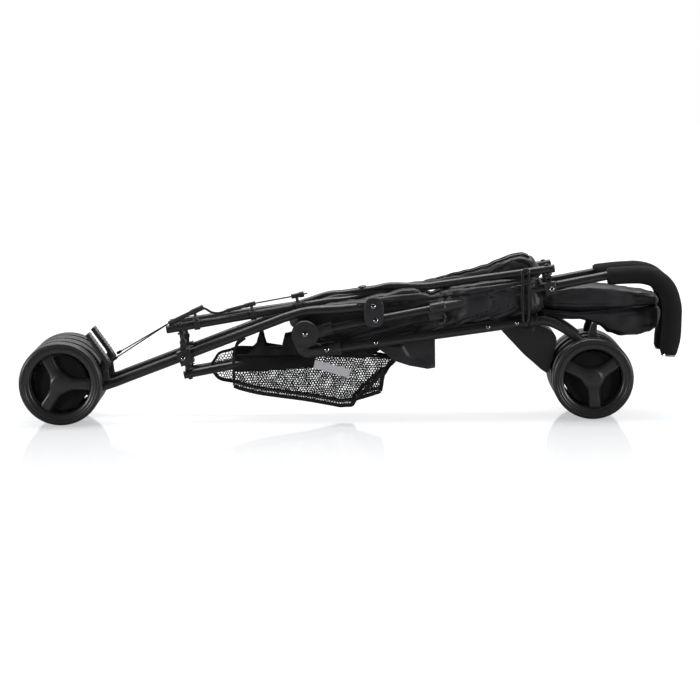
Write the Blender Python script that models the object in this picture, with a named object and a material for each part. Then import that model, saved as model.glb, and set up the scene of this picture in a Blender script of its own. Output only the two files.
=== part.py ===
"""Folded umbrella stroller lying on its eight wheels: metres, +Z up, +X toward the handles, +Y to its left."""
import math

import bmesh
import bpy
from mathutils import Matrix, Vector

for old in list(bpy.data.objects):
    bpy.data.objects.remove(old, do_unlink=True)

# Driving dimensions, in millimetres
GAP = 0.3
SIDE_Y = 46.0
INNER_Y = 29.0
SIDES = (("right", -1), ("left", 1))

REAR_AXLE = (-495.0, 71.5)
REAR_WHEEL_R = 71.5
FRONT_AXLE = (414.5, 69.7)
FRONT_WHEEL_R = 69.7
WHEEL_PITCH = 46.0
TYRE_WIDTH = 26.0
TYRE_DEPTH = 8.0
WHEEL_SIDES = 32
RIM_DEPTH = 12.0
HUB_R = 13.0
HUB_HALF = 9.0
AXLE_R = 4.0
BOSS_HALF = WHEEL_PITCH / 2 - HUB_HALF - 0.4

LEG_R = 8.0
HANDLE_R = 7.5
CROSS_R = 7.0
GRIP_R = 14.8

LEG_PIVOT = (41.0, 196.0)
HUB_PIVOT = (-76.4, 150.0)
HANDLE_SLOPE = math.atan(0.18)
FRONT_LEG_SLOPE = math.atan(0.128)
HUB_R_OUT = 23.0

# Where the four swivels of each cross frame turn on the side frames
REAR_UPPER_PIN = (-286.0, 137.5)
FRONT_UPPER_PIN = (341.0, 240.5)
REAR_LOWER_PIN = (-279.0, 95.0)
FRONT_LOWER_PIN = (311.0, 164.0)
REAR_UPPER_RISE = 26.0
FRONT_UPPER_RISE = 15.0
REAR_LOWER_RISE = -15.0
FRONT_LOWER_RISE = 15.0
CROSS_BOW = 14.6
BARREL_R = 5.8
EAR_R = 4.6
LOOSE = 1.6
PIN_R = 3.0

COLOURS = {
    "tube": ((0.012, 0.012, 0.013), 0.35, 0.3),
    "plastic": ((0.030, 0.029, 0.032), 0.55, 0.0),
    "tyre": ((0.035, 0.034, 0.036), 0.75, 0.0),
    "rim": ((0.022, 0.021, 0.023), 0.5, 0.0),
    "foam": ((0.010, 0.010, 0.011), 0.85, 0.0),
    "steel": ((0.55, 0.55, 0.56), 0.3, 1.0),
    "cloth": ((0.012, 0.012, 0.014), 0.9, 0.0),
    "mesh": ((0.015, 0.015, 0.016), 0.85, 0.0),
    "gloss": ((0.014, 0.014, 0.016), 0.18, 0.0),
}


def material_for(name, look):
    colour, roughness, metallic = COLOURS[look]
    material = bpy.data.materials.new(name + "_material")
    material.use_nodes = True
    shader = material.node_tree.nodes["Principled BSDF"]
    shader.inputs["Base Color"].default_value = (*colour, 1.0)
    shader.inputs["Roughness"].default_value = roughness
    shader.inputs["Metallic"].default_value = metallic
    return material


def mesh_from(bm):
    bmesh.ops.recalc_face_normals(bm, faces=bm.faces)
    mesh = bpy.data.meshes.new("shape")
    bm.to_mesh(mesh)
    bm.free()
    return mesh


def rod(start, end, radius, sides=12, end_radius=None):
    """A round bar or cone between two points."""
    start, end = Vector(start), Vector(end)
    bm = bmesh.new()
    bmesh.ops.create_cone(
        bm,
        cap_ends=True,
        segments=sides,
        radius1=radius,
        radius2=radius if end_radius is None else end_radius,
        depth=(end - start).length,
    )
    turn = (end - start).to_track_quat("Z", "Y").to_matrix().to_4x4()
    bmesh.ops.transform(bm, verts=bm.verts, matrix=Matrix.Translation((start + end) / 2) @ turn)
    return mesh_from(bm)


def dome(centre, radius, outward, height, sides=9):
    """A rivet head: a flattened half ball on the plane y = centre y, facing the given side."""
    rings = 2
    profile = [(0.0, radius)]
    for step in range(1, rings):
        angle = step * math.pi / 2 / rings
        profile.append((height * math.sin(angle), radius * math.cos(angle)))
    profile.append((height, 0.0))
    base = 1.0
    rows = [(centre[1] - outward * base, radius)]
    rows += [(centre[1] + outward * rise, r) for rise, r in profile]
    return turned((centre[0], centre[2]), rows, sides)


def turned(centre_xz, rows, sides=24, ring=False):
    """A solid turned about Y. Rows are (y, radius); a ring closes its last row onto its first."""
    bm = bmesh.new()
    loops = []
    for y, radius in rows:
        if radius <= 0.0:
            loops.append([bm.verts.new((centre_xz[0], y, centre_xz[1]))])
            continue
        loop = []
        for i in range(sides):
            angle = 2 * math.pi * i / sides
            x = centre_xz[0] + radius * math.cos(angle)
            z = centre_xz[1] + radius * math.sin(angle)
            loop.append(bm.verts.new((x, y, z)))
        loops.append(loop)
    pairs = list(zip(loops, loops[1:]))
    if ring:
        pairs.append((loops[-1], loops[0]))
    else:
        for loop in (loops[0], loops[-1]):
            if len(loop) > 1:
                bm.faces.new(loop)
    for first, second in pairs:
        for i in range(sides):
            j = (i + 1) % sides
            corners = [
                first[i % len(first)], first[j % len(first)], second[j % len(second)],
                second[i % len(second)],
            ]
            unique = list(dict.fromkeys(corners))
            bm.faces.new(unique)
    return mesh_from(bm)


def prism(outline, y_from, y_to):
    """A flat plate: an outline of (x, z) points, as thick as the two y values say."""
    bm = bmesh.new()
    face = bm.faces.new([bm.verts.new((x, y_from, z)) for x, z in outline])
    made = bmesh.ops.extrude_face_region(bm, geom=[face])
    moved = [v for v in made["geom"] if isinstance(v, bmesh.types.BMVert)]
    bmesh.ops.translate(bm, verts=moved, vec=(0, y_to - y_from, 0))
    return mesh_from(bm)


def block(centre, size, turn=None):
    """A box about its centre, turned by a 3x3 matrix where one is given."""
    bm = bmesh.new()
    bmesh.ops.create_cube(bm, size=1.0)
    matrix = Matrix.Translation(centre) @ (
        turn.to_4x4() if turn else Matrix.Identity(4)
    ) @ Matrix.Diagonal((*size, 1.0))
    bmesh.ops.transform(bm, verts=bm.verts, matrix=matrix)
    return mesh_from(bm)


def tube(points, radius, sides=10):
    """A round tube swept along points, closed at both ends."""
    curve = bpy.data.curves.new("path", "CURVE")
    curve.dimensions = "3D"
    curve.bevel_depth = radius
    curve.bevel_resolution = (sides - 4) // 2
    curve.use_fill_caps = True
    spline = curve.splines.new("POLY")
    spline.points.add(len(points) - 1)
    for target, point in zip(spline.points, points):
        target.co = (*point, 1.0)
    holder = bpy.data.objects.new("path", curve)
    bpy.context.collection.objects.link(holder)
    mesh = bpy.data.meshes.new_from_object(holder.evaluated_get(bpy.context.evaluated_depsgraph_get()))
    bpy.data.objects.remove(holder)
    bm = bmesh.new()
    bm.from_mesh(mesh)
    bmesh.ops.remove_doubles(bm, verts=bm.verts, dist=0.001)
    return mesh_from(bm)


def smooth(points, steps):
    """Points of a smooth curve through the given points, with the given steps on each stretch."""
    points = [Vector(p) for p in points]
    padded = [2 * points[0] - points[1], *points, 2 * points[-1] - points[-2]]
    result = []
    for a, b, c, d in zip(padded, padded[1:], padded[2:], padded[3:]):
        for i in range(steps):
            t = i / steps
            result.append(
                0.5 * (
                    2 * b + (c - a) * t + (
                        2 * a - 5 * b + 4 * c - d
                    ) * t * t + (3 * b - a - 3 * c + d) * t ** 3
                )
            )
    result.append(points[-1])
    return result


def combine(base, others, operation):
    """The base mesh joined with, or cut by, each of the others in turn."""
    holder = bpy.data.objects.new("base", base)
    bpy.context.collection.objects.link(holder)
    tools = []
    for other in others:
        tool = bpy.data.objects.new("tool", other)
        bpy.context.collection.objects.link(tool)
        tools.append(tool)
        change = holder.modifiers.new("change", "BOOLEAN")
        change.operation = operation
        change.solver = "EXACT"
        change.object = tool
    mesh = bpy.data.meshes.new_from_object(holder.evaluated_get(bpy.context.evaluated_depsgraph_get()))
    for used in (holder, *tools):
        bpy.data.objects.remove(used)
    return mesh


def union(*meshes):
    return combine(meshes[0], meshes[1:], "UNION")


def cut(base, *tools):
    return combine(base, tools, "DIFFERENCE")


def place(name, mesh, look, origin):
    """Make the finished piece, scaled to metres, with its origin where it turns or is held."""
    origin = Vector(origin)
    for vertex in mesh.vertices:
        vertex.co = (vertex.co - origin) * 0.001
    bm = bmesh.new()
    bm.from_mesh(mesh)
    bmesh.ops.remove_doubles(bm, verts=bm.verts, dist=0.000002)
    bmesh.ops.dissolve_degenerate(bm, edges=bm.edges, dist=0.000002)
    bmesh.ops.triangulate(bm, faces=bm.faces)
    bm.to_mesh(mesh)
    bm.free()
    mesh.shade_smooth()
    mesh.set_sharp_from_angle(angle=math.radians(35))
    mesh.materials.clear()
    mesh.materials.append(material_for(name, look))
    piece = bpy.data.objects.new(name, mesh)
    piece.location = origin * 0.001
    bpy.context.collection.objects.link(piece)
    return piece


def along(point, slope, distance, across=0.0):
    """A point of the side plane: forward along a slope, then square to it."""
    return (
        point[0] + distance * math.cos(slope) - across * math.sin(slope),
        point[1] + distance * math.sin(slope) + across * math.cos(slope),
    )


def at(point, y):
    return Vector((point[0], y, point[1]))


# Wheels: a soft tyre on a rim with three rounded spokes, both turning about a steel axle
def tyre(centre, y, radius):
    half = TYRE_WIDTH / 2
    seat = radius - TYRE_DEPTH + GAP
    rows = [
        (y - half + 0.5, seat),
        (y - half + 1.0, radius - 3.0),
        (y - half + 6.0, radius),
        (y + half - 6.0, radius),
        (y + half - 1.0, radius - 3.0),
        (y + half - 0.5, seat),
    ]
    return turned(centre, rows, WHEEL_SIDES, ring=True)


def rim(centre, y, radius, first_spoke):
    half = TYRE_WIDTH / 2 - 1.5
    outer = radius - TYRE_DEPTH
    inner = outer - RIM_DEPTH
    band = turned(
        centre,
        [(y - half, outer), (y - half, inner + 1.0), (y + half, inner + 1.0), (y + half, outer)],
        WHEEL_SIDES,
        ring=True,
    )
    hub = rod(at(centre, y - HUB_HALF), at(centre, y + HUB_HALF), HUB_R, 14)
    spokes = []
    for number in range(3):
        angle = math.radians(first_spoke + 120 * number)
        direction = Vector((math.cos(angle), 0, math.sin(angle)))
        across = Vector((-direction.z, 0, direction.x))
        start = at(centre, y) + direction * (HUB_R - 4.0)
        end = at(centre, y) + direction * (inner + 4.0)
        bm = bmesh.new()
        sections = []
        for point, half_width, half_depth in ((start, 9.0, 6.5), (end, 12.5, 8.5)):
            ring = []
            for side in range(6):
                turn = 2 * math.pi * side / 6
                ring.append(
                    bm.verts.new(
                        point + across * half_width * math.cos(turn) + Vector(
                            (0, half_depth * math.sin(turn), 0)
                        )
                    )
                )
            sections.append(ring)
        bm.faces.new(sections[0])
        bm.faces.new(sections[1])
        for i in range(6):
            j = (i + 1) % 6
            bm.faces.new((sections[0][i], sections[0][j], sections[1][j], sections[1][i]))
        spokes.append(mesh_from(bm))
    bore = rod(at(centre, y - 20), at(centre, y + 20), AXLE_R + GAP, 12)
    return cut(union(band, hub, *spokes), bore)


def axle(centre, y):
    """A round bar through the frame, with a domed cap outside each of its two wheels."""
    cap_y = WHEEL_PITCH / 2 + HUB_HALF + GAP
    bar = rod(at(centre, y - cap_y - 1.0), at(centre, y + cap_y + 1.0), AXLE_R, 12)
    caps = []
    for outward in (-1, 1):
        rows = [(0.0, HUB_R - 1.5), (2.0, HUB_R - 1.5), (4.5, HUB_R - 6.0)]
        caps.append(turned(centre, [(y + outward * (cap_y + rise), r) for rise, r in rows], 12))
    return union(bar, *caps)


wheel_y = [sign * SIDE_Y + step * WHEEL_PITCH / 2 for sign in (-1, 1) for step in (-1, 1)]
for end_name, centre, radius, first_spoke in (
    ("rear", REAR_AXLE, REAR_WHEEL_R, -3.0),
    ("front", FRONT_AXLE, FRONT_WHEEL_R, 34.0),
):
    for number, y in enumerate(wheel_y, 1):
        spoke = first_spoke + 17.0 * (number - 1)
        place(f"{end_name}_tyre_{number}", tyre(centre, y, radius), "tyre", at(centre, y))
        place(f"{end_name}_rim_{number}", rim(centre, y, radius, spoke), "rim", at(centre, y))
    for side, sign in SIDES:
        place(
            f"{end_name}_axle_{side}", axle(centre, sign * SIDE_Y), "plastic", at(centre, sign * SIDE_Y)
        )


# Rear legs: a tube that dips under the brake, runs up straight and levels out to its pivot
LEG_SLOPE = math.atan(0.385)
LEG_LOW = (-409.6, 63.0)
LEG_BEND = (-112.0, 177.6)
LEG_EYE_HALF = 6.0
PLATE_OUT = 12.6
PEDAL_PIN = (-423.5, 92.0)


def leg_height(x):
    return LEG_LOW[1] + (x - LEG_LOW[0]) * math.tan(LEG_SLOPE)


def rear_leg(y):
    foot = smooth(
        [at((-478, 62), y), at((-448, 55.5), y), at(LEG_LOW, y), at((-380, leg_height(-380)), y)], 2
    )
    top = smooth([at(LEG_BEND, y), at((-72, 188.0), y), at((-20, 190.8), y), at((22, 194.2), y)], 2)
    shaft = tube(foot + top, LEG_R)
    boss = rod(at(REAR_AXLE, y - BOSS_HALF), at(REAR_AXLE, y + BOSS_HALF), 13.0, 14)
    sole = tube([at((-492, 66), y), at((-470, 60.5), y)], 9.0)
    eye = rod(at(LEG_PIVOT, y - LEG_EYE_HALF), at(LEG_PIVOT, y + LEG_EYE_HALF), 9.0, 14)
    neck = block(at((30, 195.0), y), (26, 2 * LEG_EYE_HALF - 1, 13))
    lug = prism([(-434, 62), (-412, 66), (-416, 96), (-422, 101), (-430, 99)], y - 3.5, y + 3.5)
    bores = [
        rod(at(REAR_AXLE, y - 20), at(REAR_AXLE, y + 20), AXLE_R + GAP, 12),
        rod(at(LEG_PIVOT, y - 20), at(LEG_PIVOT, y + 20), 4.0 + GAP, 12),
        rod(at(PEDAL_PIN, y - 20), at(PEDAL_PIN, y + 20), 2.5 + GAP, 12),
    ]
    return cut(union(shaft, boss, sole, eye, neck, lug), *bores)


# Brake pedals: a footplate over the wheels on two cheeks, pinned to a lug on the leg
def brake_pedal(y):
    outer = prism(
        [(-452, 152), (-447, 156), (-417, 113), (-412, 104), (-418, 99), (-428, 118)], y - 15, y + 15
    )
    cheek = [(-431, 88), (-425, 84), (-417, 88), (-410, 104), (-419, 115), (-427, 108)]
    inner_face = 3.5 + GAP
    cheeks = [
        prism(cheek, y + a, y + b)
        for a, b in ((-inner_face - 3, -inner_face), (inner_face, inner_face + 3))
    ]
    slot = block(at((-421, 96), y), (30, 2 * inner_face, 28))
    pin = rod(at(PEDAL_PIN, y - inner_face - 1), at(PEDAL_PIN, y + inner_face + 1), 2.5, 12)
    return union(cut(union(outer, *cheeks), slot), pin)


# Clamps near the foot of each rear leg: ears above for the upper cross frame, inside below for the lower one
def ears(pin, y, foot_z, half_gap, thickness=3.0):
    """Two ears round a fixed pin, reaching to the given height."""
    pieces = []
    for outward in (-1, 1):
        near = y + outward * half_gap
        far = near + outward * thickness
        pieces.append(rod(at(pin, near), at(pin, far), EAR_R, 12))
        middle = (pin[1] + foot_z) / 2
        pieces.append(
            block((pin[0], (near + far) / 2, middle), (2 * EAR_R - 0.4, thickness, abs(pin[1] - foot_z)))
        )
    pieces.append(rod(at(pin, y - half_gap - 1), at(pin, y + half_gap + 1), PIN_R, 12))
    return pieces


BARREL_HALF = 4.5


def leg_clamp(y, sign):
    middle = (-282.0, leg_height(-282.0))
    turn = Matrix.Rotation(-LEG_SLOPE, 3, "Y")
    body = block(at(middle, y), (24, 23, 25), turn)
    bore = rod(at(along(middle, LEG_SLOPE, -40), y), at(along(middle, LEG_SLOPE, 40), y), LEG_R + GAP, 16)
    upper = ears(REAR_UPPER_PIN, y, middle[1] + 10.5, BARREL_HALF + GAP)
    low_y = sign * INNER_Y
    lower = ears(REAR_LOWER_PIN, low_y, middle[1] + 4.0, BARREL_HALF + GAP)
    shelf = block(at((-281, middle[1] + 5.0), low_y), (14, 19, 10))
    rivet = dome(at((-286, middle[1] - 2), y + sign * 11.5), 4.0, sign, 2.5)
    solid = cut(union(body, shelf), bore)
    return union(solid, *upper, *lower, rivet)


# Cross frames: two tubes each, riveted where they cross, their ends on swivels that turn on the side frames
def plane_of(rear_pin, front_pin, rear_rise, front_rise):
    """Direction along, and square to, the flat in which a pair of cross tubes lies."""
    run = Vector((front_pin[0] - rear_pin[0], 0, front_pin[1] - rear_pin[1]))
    slope = math.atan2(run.z, run.x) + math.asin((front_rise - rear_rise) / run.length)
    return Vector((math.cos(slope), 0, math.sin(slope))), Vector((-math.sin(slope), 0, math.cos(slope)))


def swivel(pin, y, normal, rise, pinned):
    """A barrel on the frame's pin, a saddle under the cross tube and, on a root swivel, a stud through the tube."""
    centre = at(pin, y)
    toward = normal if rise > 0 else -normal
    reach = abs(rise) - CROSS_R - GAP - (0.0 if pinned else LOOSE)
    saddle = min(3.0, reach - EAR_R - GAP)
    pieces = [rod(at(pin, y - BARREL_HALF), at(pin, y + BARREL_HALF), BARREL_R, 12)]
    pieces.append(rod(centre + toward * 2.0, centre + toward * reach, 4.2, 8))
    pieces.append(rod(centre + toward * (reach - saddle), centre + toward * reach, 7.0, 12))
    solid = cut(union(*pieces), rod(at(pin, y - 20), at(pin, y + 20), PIN_R + GAP, 10))
    if pinned:
        top = abs(rise) + CROSS_R
        stud = rod(centre + toward * (PIN_R + 1.2), centre + toward * (top + 1.0), 2.5, 10)
        head = rod(centre + toward * (top + GAP), centre + toward * (top + 2.5), 4.5, 8, 3.0)
        solid = union(solid, stud, head)
    return solid


def cross_tube(rear_point, front_point, normal, overhang, bow, bores, heads, centre_bore):
    """One cross tube, bowed over its partner at the centre, with bores for studs and the heads of rivets."""
    run = front_point - rear_point
    along_tube = run.normalized()
    middle = (rear_point + front_point) / 2
    route = [rear_point - along_tube * overhang[0]]
    if bow:
        for distance, height in (
            (-120, 0), (-100, 0.12), (-80, 0.62), (-62, 1), (62, 1), (80, 0.62), (100, 0.12), (120, 0)
        ):
            route.append(middle + along_tube * distance + normal * bow * height)
    route.append(front_point + along_tube * overhang[1])
    solid = tube(route, CROSS_R)
    reach = CROSS_R + 20
    tools = [rod(p - normal * reach, p + normal * reach, 2.5 + GAP, 12) for p in bores]
    if centre_bore:
        raised = middle + normal * bow
        tools.append(rod(raised - normal * 9, raised + normal * 9, 3.0 + GAP, 12))
    if tools:
        solid = cut(solid, *tools)
    caps = [
        rod(p + normal * (CROSS_R - 1.5) * s, p + normal * (CROSS_R + 2.0) * s, 4.5, 8, 3.0)
        for p, s in heads
    ]
    return union(solid, *caps) if caps else solid


cross_frames = {
    "upper": (
        REAR_UPPER_PIN, FRONT_UPPER_PIN, REAR_UPPER_RISE, FRONT_UPPER_RISE, SIDE_Y, (23.0, 11.0), 1
    ),
    "lower": (
        REAR_LOWER_PIN, FRONT_LOWER_PIN, REAR_LOWER_RISE, FRONT_LOWER_RISE, INNER_Y, (9.0, 11.0), -1
    ),
}
cross_paths = []
for frame_name, measures in cross_frames.items():
    rear_pin, front_pin, rear_rise, front_rise, half, overhang, bow_side = measures
    forward, normal = plane_of(rear_pin, front_pin, rear_rise, front_rise)
    for side, sign in SIDES:
        root_at_front = frame_name == "upper" and side == "right"
        root_at_rear = frame_name == "lower" and side == "right"
        y = sign * half
        place(
            f"{frame_name}_front_swivel_{side}",
            swivel(front_pin, y, normal, front_rise, root_at_front),
            "plastic",
            at(front_pin, y),
        )
        place(
            f"{frame_name}_rear_swivel_{side}",
            swivel(rear_pin, y, normal, rear_rise, root_at_rear),
            "plastic",
            at(rear_pin, y),
        )
    rear_side = 1 if rear_rise > 0 else -1
    ends = {
        (place_name, sign): at(pin, sign * half) + normal * rise
        for place_name, pin, rise in (("rear", rear_pin, rear_rise), ("front", front_pin, front_rise))
        for sign in (-1, 1)
    }
    # The bowed tube runs from the root swivel on the right to the far end on the left
    root_end = "front" if frame_name == "upper" else "rear"
    bow = CROSS_BOW * bow_side
    first_rear = ends["rear", 1 if root_end == "front" else -1]
    first_front = ends["front", -1 if root_end == "front" else 1]
    root_point = first_front if root_end == "front" else first_rear
    other_point = first_rear if root_end == "front" else first_front
    other_side = rear_side if root_end == "front" else 1
    bowed = cross_tube(
        first_rear, first_front, normal, overhang, bow, [root_point], [(other_point, other_side)], True
    )
    place(f"{frame_name}_cross_bowed", bowed, "tube", root_point)
    second_rear = ends["rear", -1 if root_end == "front" else 1]
    second_front = ends["front", 1 if root_end == "front" else -1]
    heads = [(second_rear, rear_side), (second_front, 1)]
    straight = cross_tube(second_rear, second_front, normal, overhang, 0, [], heads, False)
    middle = (second_rear + second_front) / 2
    top = CROSS_BOW + CROSS_R
    stud = rod(middle, middle + normal * (top + 1) * bow_side, 3.0, 12)
    head = rod(
        middle + normal * (top + GAP) * bow_side, middle + normal * (top + 3) * bow_side, 7.5, 12, 5.0
    )
    place(f"{frame_name}_cross_straight", union(straight, stud, head), "tube", middle)
    cross_paths.append((first_rear, first_front, second_rear, second_front, normal, bow))


# Handle tubes: straight from the hub to the grip, with the bracket that carries the upper cross frame
def handle_axis(distance, across=0.0):
    return along(HUB_PIVOT, HANDLE_SLOPE, distance, across)


GRIP_PATH = [
    (436, 240.8), (477, 242.8), (503, 243), (525, 235), (541, 217.5), (550, 191), (549.5, 169),
    (545.5, 131), (541.5, 108),
]


def handle_tube(y, sign):
    shaft = tube([at(handle_axis(27), y), at(handle_axis(540), y)], HANDLE_R)
    seat = (FRONT_UPPER_PIN[0] + 3, handle_axis(0)[1] + 0.18 * (FRONT_UPPER_PIN[0] + 3 - HUB_PIVOT[0]))
    turn = Matrix.Rotation(-HANDLE_SLOPE, 3, "Y")
    band = block(at((seat[0], seat[1] - 3.0), y), (19, 21, 21), turn)
    upper = ears(FRONT_UPPER_PIN, y, seat[1] + 6, BARREL_HALF + GAP)
    rivet = dome(at((346, 221.5), y + sign * 10.5), 4.6, sign, 3.0)
    return union(shaft, band, *upper, rivet)


def handle_grip(y):
    path = smooth([at(p, y) for p in GRIP_PATH], 2)
    foam = tube(path, GRIP_R, 12)
    bore = rod(at(handle_axis(480), y), at(handle_axis(541), y), HANDLE_R + GAP, 16)
    return cut(foam, bore)


# Pivot plates: a shield outside each handle tube, with a sleeve round the tube and the pin of the rear leg
def pivot_plate(y, sign):
    outline = [
        (26, 163), (32, 160), (54, 160), (60, 165), (60, 196), (56, 205), (48, 211), (36, 211),
        (29, 205), (25.5, 196),
    ]
    inner_face = LEG_R + GAP
    outer = prism(outline, y + sign * inner_face, y + sign * PLATE_OUT)
    seat = handle_axis(119.5)
    sleeve = rod(
        at(along(seat, HANDLE_SLOPE, -14), y), at(along(seat, HANDLE_SLOPE, 14), y), HANDLE_R + 3.2, 16
    )
    bore = rod(
        at(along(seat, HANDLE_SLOPE, -30), y), at(along(seat, HANDLE_SLOPE, 30), y), HANDLE_R + GAP, 16
    )
    pin = rod(
        at(LEG_PIVOT, y + sign * (PLATE_OUT - 1)), at(LEG_PIVOT, y - sign * (LEG_EYE_HALF + 3)), 4.0, 12
    )
    washer = rod(
        at(LEG_PIVOT, y - sign * (LEG_EYE_HALF + GAP)),
        at(LEG_PIVOT, y - sign * (LEG_EYE_HALF + 2.5)), 7.0, 12,
    )
    rivets = [dome(at(p, y + sign * (PLATE_OUT - 0.2)), 5.0, sign, 3.2) for p in (LEG_PIVOT, (45, 171.5))]
    return union(cut(union(outer, sleeve), bore), pin, washer, *rivets)


# Hubs: a disc with a socket on the handle tube, and the knuckle of the front leg that turns inside it
def hub(y, sign):
    disc = turned(
        HUB_PIVOT,
        [
            (y + sign * 1.0, HUB_R_OUT),
            (y + sign * 14.0, HUB_R_OUT),
            (y + sign * 16.0, HUB_R_OUT - 3.0),
        ],
        24,
    )
    socket = rod(at(handle_axis(23.6), y), at(handle_axis(47), y), 10.6, 16)
    arm = block(
        at(handle_axis(22), y + sign * 5.5), (22, 8.6, 20), Matrix.Rotation(-HANDLE_SLOPE, 3, "Y")
    )
    bore = rod(at(handle_axis(26.5), y), at(handle_axis(60), y), HANDLE_R + GAP, 16)
    pin = rod(at(HUB_PIVOT, y + sign * 3), at(HUB_PIVOT, y - sign * 14.5), 5.0, 12)
    foot = rod(at(HUB_PIVOT, y - sign * 14.3), at(HUB_PIVOT, y - sign * 16.5), 9.0, 12)
    rivet = dome(at(HUB_PIVOT, y + sign * 16.0), 5.0, sign, 3.0)
    return union(cut(union(disc, arm, socket), bore), pin, foot, rivet)


KNUCKLE_OFFSET = 33.3


def front_axis(distance, across=0.0):
    """A point on the straight front leg, measured from the foot of the hub's perpendicular."""
    return along(HUB_PIVOT, FRONT_LEG_SLOPE, distance, across - KNUCKLE_OFFSET)


def knuckle(y, sign):
    disc = rod(at(HUB_PIVOT, y + sign * 0.7), at(HUB_PIVOT, y - sign * 14.0), 21.0, 20)
    arm_outline = [
        along(HUB_PIVOT, FRONT_LEG_SLOPE, a, b)
        for a, b in (
            (-20.5, -2), (-21, -16), (-17, -31), (-8, -40), (6, -43.6), (24, -43.6), (24, -24),
            (12, -16), (8, -4),
        )
    ]
    arm = prism(arm_outline, y + sign * 0.6, y - sign * 9.0)
    sleeve = rod(at(front_axis(2), y), at(front_axis(56), y), 9.9, 14)
    ring = rod(at(front_axis(48), y), at(front_axis(57), y), 10.8, 14)
    bore = rod(at(front_axis(12), y), at(front_axis(70), y), LEG_R + GAP, 16)
    centre_bore = rod(at(HUB_PIVOT, y - 30), at(HUB_PIVOT, y + 30), 5.0 + GAP, 16)
    rivet = dome(at(front_axis(33, 1), y + sign * 9.4), 4.2, sign, 2.6)
    return union(cut(union(disc, arm, sleeve, ring), bore, centre_bore), rivet)


# Front legs: straight from the knuckle, then bent down into the caster
CASTER_TOP = (402.0, 127.0)
STEM_ANGLE = math.radians(-42.5)


def front_leg(y, sign):
    straight = [at(front_axis(14), y), at(front_axis(404), y)]
    bend = smooth([at(front_axis(418), y), at((364, 156), y), at((382, 143), y), at(CASTER_TOP, y)], 2)
    shaft = tube(straight + bend, LEG_R)
    clip = rod(at(front_axis(383), y), at(front_axis(399), y), 10.5, 12)
    tail = prism(
        [front_axis(385, -9), front_axis(392, -9), front_axis(390, -17), front_axis(386, -17)],
        y - 4, y + 4,
    )
    rivets = []
    for distance in (118, 312, 362):
        rivets.append(dome(at(front_axis(distance, 1), y + sign * (LEG_R - 0.8)), 3.4, sign, 2.2, 8))
    inner = y - sign * LEG_R
    stub_end = sign * (INNER_Y - BARREL_HALF - GAP)
    boss = rod(
        at(FRONT_LOWER_PIN, y), at(FRONT_LOWER_PIN, sign * (INNER_Y + BARREL_HALF + GAP)), EAR_R, 12
    )
    stub = rod(at(FRONT_LOWER_PIN, inner), at(FRONT_LOWER_PIN, stub_end - sign * 1.5), PIN_R, 12)
    head = rod(at(FRONT_LOWER_PIN, stub_end), at(FRONT_LOWER_PIN, stub_end - sign * 2.0), EAR_R, 12)
    stem = Vector((math.cos(STEM_ANGLE), 0, math.sin(STEM_ANGLE)))
    knob = rod(at(CASTER_TOP, y) - stem * 6, at(CASTER_TOP, y) + stem * 6, 9.5, 12)
    pivot = rod(at(CASTER_TOP, y), at(CASTER_TOP, y) + stem * 30, 5.0, 12)
    return union(shaft, clip, tail, boss, stub, head, knob, pivot, *rivets)


def caster_fork(y):
    stem = Vector((math.cos(STEM_ANGLE), 0, math.sin(STEM_ANGLE)))
    top = at(CASTER_TOP, y) + stem * (6 + GAP)
    cup = rod(top, top + stem * 30, 9.6, 14)
    housing = prism(
        [(412, 150), (424, 163), (448, 164), (458, 156), (459, 140), (450, 128), (430, 118), (414, 124)],
        y - 8.5, y + 8.5,
    )
    blade = prism(
        [
            (420, 128), (452, 130), (462, 112), (452, 88), (432, 60), (420, 54), (408, 56),
            (401, 68), (404, 82), (416, 106),
        ],
        y - 6.0, y + 6.0,
    )
    boss = rod(at(FRONT_AXLE, y - BOSS_HALF), at(FRONT_AXLE, y + BOSS_HALF), 13.0, 14)
    bores = [
        rod(at(FRONT_AXLE, y - 20), at(FRONT_AXLE, y + 20), AXLE_R + GAP, 12),
        rod(top - stem * 10, top + stem * 24.5, 5.0 + GAP, 12),
        rod(top - stem * 30, top - stem * 0.01, 24.0, 12),
    ]
    return cut(union(cup, housing, blade, boss), *bores)


# Transport lock: a wire loop on the right front leg that reaches over the handle tube and the cross frame
def lock_loop():
    y_out = -58.5
    collar = front_axis(376)
    ring = rod(at(front_axis(373.5), -SIDE_Y), at(front_axis(380.5), -SIDE_Y), LEG_R + GAP + 2.6, 14)
    bore = rod(at(front_axis(360), -SIDE_Y), at(front_axis(390), -SIDE_Y), LEG_R + GAP, 16)
    left = at((collar[0] - 2.0, collar[1]), -SIDE_Y - LEG_R - 1.6)
    right = at((collar[0] + 2.0, collar[1]), -SIDE_Y - LEG_R - 1.6)
    path = [
        left,
        Vector((left.x - 2.5, y_out, left.z + 12)),
        Vector((295.5, y_out, 244)),
        Vector((297.5, y_out, 254)),
        Vector((302.0, y_out, 256.5)),
        Vector((306.0, y_out, 253)),
        Vector((306.5, y_out, 244)),
        Vector((right.x + 3.5, y_out, right.z + 12)),
        right,
    ]
    return union(cut(ring, bore), tube(path, 1.6, 6))


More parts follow.
